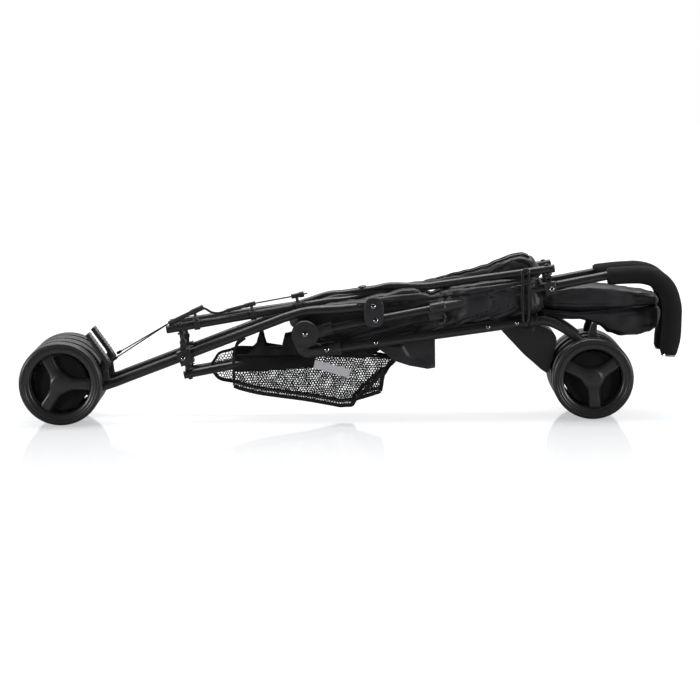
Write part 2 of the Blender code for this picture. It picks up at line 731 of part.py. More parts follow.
for side, sign in SIDES:
    y = sign * SIDE_Y
    place(f"rear_leg_{side}", rear_leg(y), "tube", at(REAR_AXLE, y))
    place(f"brake_pedal_{side}", brake_pedal(y), "plastic", at(PEDAL_PIN, y))
    place(f"leg_clamp_{side}", leg_clamp(y, sign), "plastic", at(REAR_AXLE, y))
    place(f"handle_tube_{side}", handle_tube(y, sign), "tube", at(LEG_PIVOT, y))
    place(f"handle_grip_{side}", handle_grip(y), "foam", at(LEG_PIVOT, y))
    place(f"pivot_plate_{side}", pivot_plate(y, sign), "plastic", at(LEG_PIVOT, y))
    place(f"hub_{side}", hub(y, sign), "plastic", at(HUB_PIVOT, y))
    place(f"front_knuckle_{side}", knuckle(y, sign), "plastic", at(HUB_PIVOT, y))
    place(f"front_leg_{side}", front_leg(y, sign), "tube", at(HUB_PIVOT, y))
    place(f"caster_fork_{side}", caster_fork(y), "plastic", at(CASTER_TOP, y))
place("lock_loop", lock_loop(), "steel", at(front_axis(376), -SIDE_Y))


# Cable guides: two small tees and a clip on the upper cross tube, with the thin cable that they hold
def cable_guides(frame_path):
    _, _, rear, front, normal, _ = frame_path
    direction = (front - rear).normalized()

    def on_tube(x, lift):
        return rear + direction * ((x - rear.x) / direction.x) + normal * lift

    pieces = []
    for x, height, half_length, radius in ((-262, 24, 10, 4.5), (-166, 19, 6, 3.6), (-88, 18, 10, 4.4)):
        foot = on_tube(x, 0)
        pieces.append(rod(foot - direction * 5, foot + direction * 5, CROSS_R + 2.4, 10))
        pieces.append(rod(on_tube(x, CROSS_R), on_tube(x, height), 2.6, 8))
        middle = on_tube(x, height)
        pieces.append(rod(middle - direction * half_length, middle + direction * half_length, radius, 8))
    route = [
        on_tube(-255, 24), on_tube(-236, 20), on_tube(-214, 13), on_tube(-196, 14), on_tube(-170, 19)
    ]
    pieces.append(tube(route, 1.3, 6))
    pieces.append(tube([on_tube(-164, 19), on_tube(-92, 18)], 1.3, 6))
    bore = rod(on_tube(-290, 0), on_tube(-60, 0), CROSS_R + GAP, 16)
    return cut(union(*pieces), bore)


def brake_wires(frame_path):
    """Two thin wires from the brake pedals that meet just before the first tee."""
    _, _, rear, front, normal, _ = frame_path
    direction = (front - rear).normalized()
    tee = rear + direction * ((-273.5 - rear.x) / direction.x) + normal * 24
    near = tube([Vector((-406, -SIDE_Y, 110)), tee], 1.1, 6)
    far = tube([Vector((-406, SIDE_Y, 110)), tee], 1.1, 6)
    sleeve = rod(tee - (tee - Vector((-406, -SIDE_Y, 110))).normalized() * 20, tee, 2.4, 8)
    return union(near, far, sleeve)


# Soft parts: folded cloth, hood bundle and basket as closed solids that keep clear of the tubes through them
def soft_body(stations, folds, fold_depth):
    """A solid lofted along X with lengthwise folds. Stations are (x, bottom, top, half width)."""
    sides = 16
    bm = bmesh.new()
    rings = []
    for x, bottom, top, half in stations:
        ring = []
        for i in range(sides):
            angle = 2 * math.pi * (i + 0.5) / sides
            wave = 1.0 - fold_depth * (0.5 + 0.5 * math.cos(folds * angle + x * 0.05))
            c, s = math.cos(angle), math.sin(angle)
            y = half * wave * math.copysign(abs(c) ** 0.55, c)
            z = (top + bottom) / 2 + (top - bottom) / 2 * wave * math.copysign(abs(s) ** 0.55, s)
            ring.append(bm.verts.new((x, y, z)))
        rings.append(ring)
    bm.faces.new(rings[0])
    bm.faces.new(rings[-1])
    for first, second in zip(rings, rings[1:]):
        for i in range(sides):
            j = (i + 1) % sides
            bm.faces.new((first[i], first[j], second[j], second[i]))
    return mesh_from(bm)


SEAT_STATIONS = [
    (62, 150, 203, 33),
    (108, 154, 207, 35),
    (140, 160, 241, 35),
    (172, 165, 248, 35),
    (194, 169, 251, 53),
    (233, 176, 260, 54),
    (273, 184, 276, 54),
    (298, 189, 281, 53),
    (314, 192, 274, 50),
    (328, 196, 258, 33),
]
HOOD_STATIONS = [
    (334, 182, 224, 30),
    (357, 169, 226, 33),
    (366, 168, 241, 42),
    (396, 167, 246, 42),
    (408, 163, 232, 34),
    (459, 145, 210, 35),
    (490, 142, 206, 33),
    (512, 147, 203, 27),
    (527, 158, 198, 18),
]
LEG_REST_OUTLINE = [
    (262, 148), (281, 133), (313, 97), (338, 75), (342, 77), (341, 110), (338, 132), (318, 147),
    (298, 150),
]
LEG_REST_HEM = [(263, 144), (294, 144), (294, 160.5), (263, 156)]
BASKET_STATIONS = [
    (-228, 72, 78, 20),
    (-190, 66, 94, 30),
    (-130, 53, 103, 34),
    (-72, 37, 94, 35),
    (-18, 23, 94, 35),
    (4, 27, 99, 35),
    (30, 37, 99, 34),
    (54, 45, 92, 30),
]


def inflated_cross(frame_path, grow):
    rear_a, front_a, rear_b, front_b, normal, bow = frame_path
    middle = (rear_a + front_a) / 2
    direction = (front_a - rear_a).normalized()
    route = [rear_a - direction * 30]
    for distance, height in (
        (-120, 0), (-100, 0.12), (-80, 0.62), (-62, 1), (62, 1), (80, 0.62), (100, 0.12), (120, 0)
    ):
        route.append(middle + direction * distance + normal * bow * height)
    route.append(front_a + direction * 40)
    other = (front_b - rear_b).normalized()
    return [
        tube(route, CROSS_R + grow, 12),
        rod(rear_b - other * 30, front_b + other * 40, CROSS_R + grow, 12),
    ]


upper_path, lower_path = cross_paths
place("cable_guides", cable_guides(upper_path), "plastic", upper_path[2])
place("brake_wires", brake_wires(upper_path), "steel", at(REAR_AXLE, -SIDE_Y))
handles = [
    rod(at(handle_axis(20), s * SIDE_Y), at(handle_axis(500), s * SIDE_Y), HANDLE_R + 1.2, 12)
    for s in (-1, 1)
]
seat = cut(soft_body(SEAT_STATIONS, 5, 0.10), *inflated_cross(upper_path, 1.0), *handles)
place("seat_cloth", seat, "cloth", at(LEG_PIVOT, 0))
leg_rest = union(prism(LEG_REST_OUTLINE, -35.0, 35.0), prism(LEG_REST_HEM, -38.6, 38.6))
place("leg_rest", leg_rest, "gloss", at(HUB_PIVOT, 0))
sewn = [
    rod(at(handle_axis(20), s * SIDE_Y), at(handle_axis(500), s * SIDE_Y), HANDLE_R + 0.45, 12)
    for s in (-1, 1)
]
place("hood_cloth", cut(soft_body(HOOD_STATIONS, 6, 0.12), *sewn), "cloth", at(LEG_PIVOT, 0))
net = cut(soft_body(BASKET_STATIONS, 4, 0.02), *inflated_cross(lower_path, 0.5))
place("basket", net, "mesh", at(REAR_LOWER_PIN, 0))
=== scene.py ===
"""A folded umbrella stroller on its eight wheels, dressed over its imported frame. Lengths are in mm."""
import math

import bmesh
import bpy
from mathutils import Matrix, Vector, noise


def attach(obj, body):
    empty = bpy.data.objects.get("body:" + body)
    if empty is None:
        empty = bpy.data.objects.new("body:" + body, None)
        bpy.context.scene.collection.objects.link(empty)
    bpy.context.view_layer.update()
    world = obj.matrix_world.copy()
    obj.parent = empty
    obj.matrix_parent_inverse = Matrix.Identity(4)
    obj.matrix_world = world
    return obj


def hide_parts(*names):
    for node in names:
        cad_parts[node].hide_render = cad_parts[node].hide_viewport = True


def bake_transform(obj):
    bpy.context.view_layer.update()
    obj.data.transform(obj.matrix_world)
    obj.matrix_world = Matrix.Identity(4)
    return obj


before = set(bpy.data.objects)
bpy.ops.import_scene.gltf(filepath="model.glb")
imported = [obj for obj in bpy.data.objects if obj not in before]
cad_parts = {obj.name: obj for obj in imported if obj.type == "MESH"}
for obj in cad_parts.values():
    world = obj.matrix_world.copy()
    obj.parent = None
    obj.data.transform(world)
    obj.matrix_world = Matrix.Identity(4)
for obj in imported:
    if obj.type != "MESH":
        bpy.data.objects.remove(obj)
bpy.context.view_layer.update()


# Tyres: eight foam-filled rubber tyres, pressed in one piece with a narrow seam where they meet the rim.
# Their shoulders are round and the tread is plain.
REAR_AXLE = (-495.0, 71.5)
REAR_WHEEL_R = 71.5
FRONT_AXLE = (414.5, 69.7)
FRONT_WHEEL_R = 69.7
SIDE_Y = 46.0
WHEEL_PITCH = 46.0
SIDES = (("right", -1), ("left", 1))


def new_effect(name, inputs, outputs):
    """An empty shader node group with float inputs and outputs, and its two end nodes."""
    group = bpy.data.node_groups.new(name, "ShaderNodeTree")
    for socket, value in inputs.items():
        made = group.interface.new_socket(socket, in_out="INPUT", socket_type="NodeSocketFloat")
        made.default_value = value
    for socket in outputs:
        group.interface.new_socket(socket, in_out="OUTPUT", socket_type="NodeSocketFloat")
    return group, group.nodes.new("NodeGroupInput"), group.nodes.new("NodeGroupOutput")


def add_node(tree, kind, values=None, **settings):
    """A shader node with its settings made first and its plain inputs filled in after."""
    node = tree.nodes.new("ShaderNode" + kind)
    for name, setting in settings.items():
        setattr(node, name, setting)
    for socket, value in (values or {}).items():
        node.inputs[socket].default_value = value
    return node


def wire(tree, *wires):
    """Join sockets. Each wire is given as (from node, socket, to node, socket)."""
    for source, output, target, entry in wires:
        tree.links.new(source.outputs[output], target.inputs[entry])


def moulded_surface_effect():
    """Fine pitted grain and slow patches of tone, as on a moulding from a spark-eroded tool."""
    tree, given, result = new_effect(
        "Moulded surface", {"Grain": 900.0, "Patches": 30.0}, ("Height", "Tone", "Scuff")
    )
    place = add_node(tree, "TexCoord")
    grain = add_node(tree, "TexNoise", {"Detail": 3.0})
    patches = add_node(tree, "TexNoise", {"Detail": 2.0})
    marks = add_node(tree, "TexNoise", {"Detail": 6.0, "Roughness": 0.75})
    finer = add_node(tree, "Math", {1: 4.0}, operation="MULTIPLY")
    limit = add_node(tree, "MapRange", {"From Min": 0.56, "From Max": 0.72})
    for texture in (grain, patches, marks):
        wire(tree, (place, "Object", texture, "Vector"))
    wire(
        tree,
        (given, "Grain", grain, "Scale"),
        (given, "Patches", patches, "Scale"),
        (given, "Patches", finer, 0),
        (finer, 0, marks, "Scale"),
        (marks, "Fac", limit, "Value"),
        (grain, "Fac", result, "Height"),
        (patches, "Fac", result, "Tone"),
        (limit, "Result", result, "Scuff"),
    )
    return tree


moulded_surface = moulded_surface_effect()


def drifting_finish(name, effect, given, tones, bump, depth, settings):
    """A material whose colour drifts between two tones and whose relief follows an effect's height."""
    material = bpy.data.materials.new(name)
    material.use_nodes = True
    tree = material.node_tree
    shader = tree.nodes["Principled BSDF"]
    for socket, value in settings.items():
        shader.inputs[socket].default_value = value
    dark, light = tones
    surface = add_node(tree, "Group", given, node_tree=effect)
    colour = add_node(tree, "Mix", {"A": (*dark, 1.0), "B": (*light, 1.0)}, data_type="RGBA")
    relief = add_node(tree, "Bump", {"Strength": bump, "Distance": depth * 0.001})
    wire(
        tree,
        (surface, "Tone", colour, "Factor"),
        (surface, "Height", relief, "Height"),
        (colour, "Result", shader, "Base Color"),
        (relief, "Normal", shader, "Normal"),
    )
    return material, shader, surface


def moulded_finish(name, dark, light, roughness, grain, depth, patches=30.0, metallic=0.0, shine=0.3):
    """The finish of a moulding or a coating, with fine grain in its relief and scuffs in its gloss."""
    given = {"Grain": grain, "Patches": patches}
    settings = {"Metallic": metallic, "Specular IOR Level": shine}
    material, shader, surface = drifting_finish(
        name, moulded_surface, given, (dark, light), 0.6, depth, settings
    )
    tree = material.node_tree
    gloss = add_node(tree, "MapRange", {"To Min": roughness, "To Max": min(1.0, roughness + 0.12)})
    wire(tree, (surface, "Scuff", gloss, "Value"), (gloss, "Result", shader, "Roughness"))
    return material


def at(point, y):
    return Vector((point[0], y, point[1]))


def mesh_of(bm):
    bmesh.ops.recalc_face_normals(bm, faces=bm.faces)
    mesh = bpy.data.meshes.new("shape")
    bm.to_mesh(mesh)
    bm.free()
    return mesh


def spun(origin, axis, profile, sides, ring=False):
    """A solid of revolution. The profile is a list of (distance along the axis, radius)."""
    axis = Vector(axis).normalized()
    across = axis.orthogonal().normalized()
    beside = axis.cross(across)
    bm = bmesh.new()
    loops = []
    for distance, radius in profile:
        middle = Vector(origin) + axis * distance
        if radius <= 0.0:
            loops.append([bm.verts.new(middle)])
            continue
        loop = []
        for i in range(sides):
            turn = 2 * math.pi * i / sides
            loop.append(
                bm.verts.new(middle + (across * math.cos(turn) + beside * math.sin(turn)) * radius)
            )
        loops.append(loop)
    pairs = list(zip(loops, loops[1:]))
    if ring:
        pairs.append((loops[-1], loops[0]))
    else:
        for loop in (loops[0], loops[-1]):
            if len(loop) > 1:
                bm.faces.new(loop)
    for first, second in pairs:
        for i in range(sides):
            j = (i + 1) % sides
            corners = [
                first[i % len(first)], first[j % len(first)], second[j % len(second)],
                second[i % len(second)],
            ]
            bm.faces.new(list(dict.fromkeys(corners)))
    return mesh_of(bm)


def joined(*meshes):
    """Several meshes as one, each keeping its UV map if it has one."""
    bm = bmesh.new()
    for mesh in meshes:
        bm.from_mesh(mesh)
    whole = bpy.data.meshes.new("shape")
    bm.to_mesh(whole)
    bm.free()
    return whole


def finished(name, mesh, material, body, *nodes, slot=None, sharp=35.0):
    """Put a mesh made in millimetres into the scene as a piece that rides on a body."""
    mesh.transform(Matrix.Scale(0.001, 4))
    mesh.shade_smooth()
    mesh.set_sharp_from_angle(angle=math.radians(sharp))
    mesh.materials.clear()
    mesh.materials.append(material)
    mesh.name = name
    piece = bpy.data.objects.new(name, mesh)
    bpy.context.scene.collection.objects.link(piece)
    if body:
        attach(piece, body)
    if nodes:
        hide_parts(*nodes)
    return piece


tyre_rubber = moulded_finish(
    "Tyre rubber", (0.0095, 0.0092, 0.0100), (0.0165, 0.0158, 0.0172), 0.40, 1400.0, 0.03,
    patches=22.0, shine=0.5
)


TYRE_SHOULDER = [
    (11.8, 8.3), (12.4, 7.9), (12.9, 6.8), (12.9, 5.0), (12.2, 3.2), (10.6, 1.5), (8.2, 0.5), (4.5, 0.05),
]


def tyre_profile(radius):
    """The section from one bead over the crown to the other bead."""
    half = [(across, radius - drop) for across, drop in TYRE_SHOULDER]
    return [(-across, height) for across, height in half] + [(0.0, radius)] + half[::-1]


wheels = []
for end, axle, radius, first_spoke in (
    ("rear", REAR_AXLE, REAR_WHEEL_R, -3.0),
    ("front", FRONT_AXLE, FRONT_WHEEL_R, 34.0),
):
    places = [sign * SIDE_Y + step * WHEEL_PITCH / 2 for sign in (-1, 1) for step in (-1, 1)]
    for number, y in enumerate(places, 1):
        wheels.append((end, number, at(axle, y), radius, first_spoke + 17.0 * (number - 1)))

for end, number, centre, radius, _ in wheels:
    mesh = spun(centre, (0, 1, 0), tyre_profile(radius), sides=112, ring=True)
    body = f"{end}_wheel_{number}"
    finished(f"{end}_tyre_skin_{number}", mesh, tyre_rubber, body, f"{end}_tyre_{number}", slot="tyre")


# Rims: glass-filled nylon, one moulding each. Three rounded spokes grow out of the hub and run into a
# stepped band. On the side of the leg sits a shallow dish, darker and duller than the rim: painted shade
# seen through the spokes.
rim_nylon = moulded_finish(
    "Rim nylon", (0.011, 0.0104, 0.0118), (0.018, 0.0172, 0.0192), 0.36, 1100.0, 0.03, patches=26.0,
    shine=0.5
)
# Painted shade: the dish's nylon is darker and duller than the rim's, so the openings between the spokes
# look shaded.
dish_painted_shade_nylon = moulded_finish(
    "Dish nylon painted shade", (0.0035, 0.0034, 0.0038), (0.0060, 0.0057, 0.0064), 0.62, 1100.0, 0.03,
    patches=26.0, shine=0.15
)
RIM_WALL = 8.0
BAND_DEPTH = 11.5
SPOKE_HALF = 8.6
SPOKE_THICK = 9.7
HUB_R = 15.5
DISH_R = 47.0


def band_profile(outer):
    """The stepped band's section, the same on both faces of the wheel."""
    inner = outer - BAND_DEPTH
    half = [
        (11.4, outer), (11.9, outer - 0.8), (11.9, outer - 2.6), (11.1, outer - 3.2), (10.6, outer - 4.6)
    ]
    half += [(10.2, outer - 7.0), (9.2, outer - 9.6), (7.6, inner + 0.6), (5.5, inner)]
    return [(-across, height) for across, height in half] + half[::-1]


def spoke_edge(offset, reach):
    """How far out the spider goes at an angle from the nearest spoke's middle line."""
    slope = abs(math.sin(offset))
    half = SPOKE_HALF + 1.6 * math.cos(offset)
    straight = reach if slope < 1e-4 else min(reach, half / slope)
    rounded = (18.5 ** 4 + straight ** 4) ** 0.25
    return min(reach, rounded)


def spoke_spider(centre, reach, first_spoke, inward):
    """Hub and three spokes, both faces crowned and meeting at the outline. The hub is domed outside."""
    around = 120
    inner_radii = (1.0, 3.0, 5.0, 7.0, 9.0, 11.0, 13.0, 14.6, 15.5)
    shares = (0.14, 0.3, 0.48, 0.66, 0.8, 0.9, 0.96, 0.99)
    bm = bmesh.new()
    outline = []
    for i in range(around):
        turn = 2 * math.pi * i / around
        offset = (turn + math.pi / 3) % (2 * math.pi / 3) - math.pi / 3
        edge = spoke_edge(offset, reach)
        direction = Vector((math.cos(turn + first_spoke), 0, math.sin(turn + first_spoke)))
        outline.append((edge, direction))
    rim_loop = [bm.verts.new(centre + direction * edge) for edge, direction in outline]
    for side in (-1, 1):
        loops = []
        for radius in inner_radii:
            top = 10.2 if side == inward else 12.2
            depth = SPOKE_THICK + (top - SPOKE_THICK) * math.sqrt(1.0 - (radius / 15.6) ** 2)
            loops.append(
                [bm.verts.new(centre + d * radius + Vector((0, side * depth, 0))) for _, d in outline]
            )
        for share in shares:
            loop = []
            for edge, direction in outline:
                radius = HUB_R + (edge - HUB_R) * share
                depth = 7.0 + 2.7 * math.exp(
                    -(((radius - HUB_R) / 9.0) ** 2)
                ) + 0.9 * (radius / 60.0) ** 2
                crown = math.sqrt(max(0.0, 1.0 - share ** 2.2))
                loop.append(
                    bm.verts.new(centre + direction * radius + Vector((0, side * depth * crown, 0)))
                )
            loops.append(loop)
        loops.append(rim_loop)
        bm.faces.new(loops[0])
        for first, second in zip(loops, loops[1:]):
            for i in range(around):
                j = (i + 1) % around
                bm.faces.new((first[i], first[j], second[j], second[i]))
    return mesh_of(bm)


def rim_shade_dish(centre, inward, radius):
    """A shallow dish with a rolled edge on one face of a wheel. Its dark finish is painted shade."""
    profile = [(2.5, 12.0), (2.5, radius - 1.0), (3.2, radius), (9.4, radius), (10.2, radius - 1.4)]
    profile += [
        (10.2, radius - 5.0), (7.4, radius - 6.4), (6.2, radius - 9.0), (6.2, 16.0), (9.0, 13.6),
        (9.0, 12.0),
    ]
    return spun(centre, (0, inward, 0), profile, sides=72, ring=True)


for end, number, centre, radius, first_spoke in wheels:
    outer = radius - RIM_WALL
    band = spun(centre, (0, 1, 0), band_profile(outer), sides=96, ring=True)
    leg_y = math.copysign(SIDE_Y, centre.y)
    inward = 1 if leg_y > centre.y else -1
    spider = spoke_spider(centre, outer - 2.5, math.radians(first_spoke), inward)
    body = f"{end}_wheel_{number}"
    finished(
        f"{end}_rim_casting_{number}",
        joined(band, spider),
        rim_nylon,
        body,
        f"{end}_rim_{number}",
        sharp=50.0,
        slot="rim",
    )
    # The dark dish behind the spokes is painted shade.
    finished(f"{end}_rim_shade_dish_{number}", rim_shade_dish(centre, inward, DISH_R), dish_painted_shade_nylon, body, slot="rim")

# Axles: bars through the hubs, closed at each end by a small domed nylon cap.
cap_nylon = moulded_finish(
    "Hub cap nylon", (0.008, 0.0077, 0.0085), (0.012, 0.0115, 0.0125), 0.32, 1200.0, 0.03, patches=40.0
)
for end, axle, body_of_side in (
    ("rear", REAR_AXLE, {"right": "rear_axle_right", "left": "rear_leg_left"}),
    ("front", FRONT_AXLE, {"right": "caster_right", "left": "caster_left"}),
):
    for side, sign in SIDES:
        reach = WHEEL_PITCH / 2 + 10.1
        shapes = [
            spun(at(axle, sign * SIDE_Y - reach), (0, 1, 0), [(0.0, 4.0), (2 * reach, 4.0)], sides=24)
        ]
        cap = [(-0.6, 3.4), (0.2, 3.4), (0.7, 3.0), (1.1, 2.0), (1.2, 0.0)]
        for outward in (-1, 1):
            shapes.append(spun(at(axle, sign * SIDE_Y + outward * reach), (0, outward, 0), cap, sides=48))
        finished(
            f"{end}_axle_caps_{side}", joined(*shapes), cap_nylon, body_of_side[side],
            f"{end}_axle_{side}",
        )


# Rear legs: round steel tube, powder coated black, pressed flat at the pivot and ending in a moulded foot
# on the axle. The brake's lug is moulded on the foot.
LEG_R = 8.0
LEG_PIVOT = (41.0, 196.0)
LEG_SLOPE = math.atan(0.385)
powder_coat = moulded_finish(
    "Black powder coat", (0.0100, 0.0096, 0.0106), (0.0150, 0.0144, 0.0158), 0.36, 900.0, 0.010,
    patches=14.0, shine=0.5
)
dark_moulding = moulded_finish(
    "Charcoal nylon", (0.0155, 0.0148, 0.0165), (0.0250, 0.0240, 0.0265), 0.38, 1000.0, 0.04,
    patches=30.0, shine=0.4
)


def piped(points, radius, sides):
    """A round tube along points, closed at both ends."""
    curve = bpy.data.curves.new("path", "CURVE")
    curve.dimensions = "3D"
    curve.bevel_depth = radius
    curve.bevel_resolution = (sides - 4) // 2
    curve.use_fill_caps = True
    spline = curve.splines.new("POLY")
    spline.points.add(len(points) - 1)
    for target, point in zip(spline.points, points):
        target.co = (*point, 1.0)
    holder = bpy.data.objects.new("path", curve)
    bpy.context.scene.collection.objects.link(holder)
    mesh = bpy.data.meshes.new_from_object(holder.evaluated_get(bpy.context.evaluated_depsgraph_get()))
    bpy.data.objects.remove(holder)
    return mesh


def threaded(points, steps):
    """Points of a smooth curve that goes through all the given points."""
    points = [Vector(p) for p in points]
    padded = [2 * points[0] - points[1], *points, 2 * points[-1] - points[-2]]
    result = []
    for a, b, c, d in zip(padded, padded[1:], padded[2:], padded[3:]):
        for i in range(steps):
            t = i / steps
            result.append(
                0.5 * (
                    2 * b + (c - a) * t + (
                        2 * a - 5 * b + 4 * c - d
                    ) * t * t + (3 * b - a - 3 * c + d) * t ** 3
                )
            )
    result.append(points[-1])
    return result


HARD_EDGE = math.radians(32.0)


def softened(mesh, width, segments=2):
    """The mesh with its hard edges rounded off."""
    bm = bmesh.new()
    bm.from_mesh(mesh)
    bmesh.ops.remove_doubles(bm, verts=bm.verts, dist=0.004)
    bmesh.ops.dissolve_limit(bm, angle_limit=math.radians(1.0), verts=bm.verts, edges=bm.edges)
    hard = [e for e in bm.edges if len(e.link_faces) == 2 and e.calc_face_angle(0.0) > HARD_EDGE]
    bmesh.ops.bevel(
        bm, geom=hard, offset=width, offset_type="OFFSET", segments=segments, profile=0.5,
        affect="EDGES", clamp_overlap=True,
    )
    return mesh_of(bm)


def plate(outline, y_from, y_to, rounding, segments=3):
    """A flat plate in the side plane with rounded edges."""
    bm = bmesh.new()
    face = bm.faces.new([bm.verts.new((x, y_from, z)) for x, z in outline])
    made = bmesh.ops.extrude_face_region(bm, geom=[face])
    moved = [v for v in made["geom"] if isinstance(v, bmesh.types.BMVert)]
    bmesh.ops.translate(bm, verts=moved, vec=(0, y_to - y_from, 0))
    return softened(mesh_of(bm), rounding, segments=segments)


def leg_height(x):
    return 63.0 + (x + 409.6) * math.tan(LEG_SLOPE)


for side, sign in SIDES:
    y = sign * SIDE_Y
    foot_line = [
        (-478, 62), (-448, 57.5), (-409.6, 67.5), (-380, leg_height(-380) + 4),
        (-290, leg_height(-290) + 2.5),
    ]
    foot = threaded([at(point, y) for point in foot_line], 6)
    top = threaded(
        [at(point, y) for point in ((-112, 177.6), (-72, 188.0), (-20, 190.8), (22, 194.2))], 8
    )
    shaft = piped(foot + top, LEG_R, sides=28)
    eye = spun(
        at(LEG_PIVOT, y - 6.0), (0, 1, 0), [(0.0, 7.8), (0.8, 9.0), (11.2, 9.0), (12.0, 7.8)], sides=40
    )
    neck = plate([(12, 187.5), (41, 188), (44, 196), (41, 204), (12, 202.5)], y - 5.6, y + 5.6, 2.0)
    finished(
        f"rear_leg_tube_{side}", joined(shaft, eye, neck), powder_coat, f"rear_leg_{side}", slot="tube"
    )
    boss = spun(
        at(REAR_AXLE, y - 13.6), (0, 1, 0), [(0.0, 12.0), (1.0, 13.0), (26.2, 13.0), (27.2, 12.0)],
        sides=40,
    )
    sole = piped(
        threaded([at((-493, 66), y), at((-470, 60.5), y), at((-449, 56.5), y)], 6), 9.1, sides=28
    )
    collar = spun(
        at((-449, 56.4), y), (1, 0, -0.1), [(-3.0, 9.1), (0.0, 9.9), (5.0, 9.9), (6.0, 9.0)], sides=32
    )
    lug = plate([(-434, 62), (-412, 66), (-416, 96), (-422, 101), (-430, 99)], y - 3.5, y + 3.5, 1.2)
    finished(
        f"rear_foot_{side}",
        joined(boss, sole, collar, lug),
        dark_moulding,
        f"rear_leg_{side}",
        f"rear_leg_{side}",
        slot="plastic",
    )


# Clamps, brake pedals, pivots and swivels: nylon mouldings with lightly rounded edges and a spark-eroded
# surface, screwed or riveted to the tubes. Ribs across each pedal keep a shoe from slipping.
def rounded_moulding(node, body, width=0.7):
    """A nylon moulding with the frame's own form, its hard edges rounded."""
    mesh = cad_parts[node].data.copy()
    mesh.transform(Matrix.Scale(1000.0, 4))
    return finished(node + "_moulding", softened(mesh, width), dark_moulding, body, node, slot="plastic")


TREAD_FROM = (-446.6, 155.4)
TREAD_TO = (-417.6, 113.8)
for side, sign in SIDES:
    ribs = []
    for number in range(8):
        middle = at(TREAD_FROM, sign * SIDE_Y).lerp(at(TREAD_TO, sign * SIDE_Y), (number + 0.5) / 8)
        ribs.append(piped([middle - Vector((0, 13.5, 0)), middle + Vector((0, 13.5, 0))], 1.2, sides=10))
    finished(f"pedal_tread_{side}", joined(*ribs), dark_moulding, f"brake_pedal_{side}", slot="plastic")
    rounded_moulding(f"leg_clamp_{side}", f"rear_leg_{side}")
    rounded_moulding(f"brake_pedal_{side}", f"brake_pedal_{side}")
    rounded_moulding(f"hub_{side}", f"handle_{side}", 0.9)
    rounded_moulding(f"front_knuckle_{side}", f"front_leg_{side}", 0.9)
    for swivel in ("upper_front", "upper_rear", "lower_front", "lower_rear"):
        rounded_moulding(f"{swivel}_swivel_{side}", f"{swivel}_swivel_{side}", 0.4)


# Brake cables: a thin plastic-coated cable from each pedal, drawn tight.
# They meet at the long guide on the upper cross frame.
BRAKE_CABLE_END = (-310.0, 170.0)
cable_cover = moulded_finish(
    "Cable cover", (0.008, 0.008, 0.0085), (0.012, 0.012, 0.0125), 0.30, 1500.0, 0.02, patches=60.0
)
cable_lines = []
for side, sign in SIDES:
    start = Vector((-406.0, sign * SIDE_Y, 109.0))
    cable_lines.append(piped([start, at(BRAKE_CABLE_END, -43.5 + sign * 1.3)], 1.15, sides=12))
    clevis = [(-3.0, 1.6), (-2.4, 2.6), (5.0, 2.6), (8.0, 1.9), (9.0, 1.2)]
    cable_lines.append(spun(start, at(BRAKE_CABLE_END, -43.5) - start, clevis, sides=20))
wires = finished("brake_cables", joined(*cable_lines), cable_cover, None, "brake_wires", slot="steel")
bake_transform(wires)


# Cross frames: two pairs of powder-coated tubes. Both tubes of a pair are pressed flat where they cross.
# One is bowed over the other, a rivet joins them, and black plugs close the open ends.
CROSS_R = 7.0
CROSS_BOW = 10.4
PRESSED_HALF = 4.8
PRESSED_SPREAD = 1.7
PRESSED_SIDES = 28
REAR_UPPER_PIN = (-286.0, 137.5)
FRONT_UPPER_PIN = (341.0, 240.5)
REAR_LOWER_PIN = (-279.0, 95.0)
FRONT_LOWER_PIN = (311.0, 164.0)
INNER_Y = 29.0
plug_plastic = moulded_finish(
    "Tube plug plastic", (0.007, 0.0068, 0.0073), (0.010, 0.0098, 0.0105), 0.5, 1000.0, 0.04
)


def eased(value):
    value = max(0.0, min(1.0, value))
    return value * value * (3 - 2 * value)


def skinned(rows):
    """A closed skin over rings of points, capped at both ends."""
    bm = bmesh.new()
    rings = [[bm.verts.new(point) for point in row] for row in rows]
    count = len(rings[0])
    bm.faces.new(rings[0])
    bm.faces.new(rings[-1])
    for first, second in zip(rings, rings[1:]):
        for i in range(count):
            j = (i + 1) % count
            bm.faces.new((first[i], first[j], second[j], second[i]))
    return mesh_of(bm)


def pressed_tube(start, end, normal, bow):
    """A cross tube from end to end, its middle pressed flat and lifted along the normal."""
    middle = (start + end) / 2
    forward = (end - start).normalized()
    side = forward.cross(normal).normalized()
    length = (end - start).length
    places = {0.0, length}
    places.update(length / 2 + step * 5.0 for step in range(-28, 29))
    rows = []
    for distance in sorted(places):
        from_middle = abs(distance - length / 2)
        flat = 1.0 - eased((from_middle - 24.0) / 34.0)
        lift = bow * (1.0 - eased((from_middle - 40.0) / 85.0))
        centre = middle + forward * (distance - length / 2) + normal * lift
        high = CROSS_R + (PRESSED_HALF - CROSS_R) * flat
        wide = CROSS_R + PRESSED_SPREAD * flat
        row = []
        for i in range(PRESSED_SIDES):
            turn = 2 * math.pi * i / PRESSED_SIDES
            row.append(centre + side * math.cos(turn) * wide + normal * math.sin(turn) * high)
        rows.append(row)
    return skinned(rows)


def cross_plane(rear_pin, front_pin, rear_rise, front_rise):
    run = Vector((front_pin[0] - rear_pin[0], 0, front_pin[1] - rear_pin[1]))
    slope = math.atan2(run.z, run.x) + math.asin((front_rise - rear_rise) / run.length)
    return Vector((-math.sin(slope), 0, math.cos(slope)))


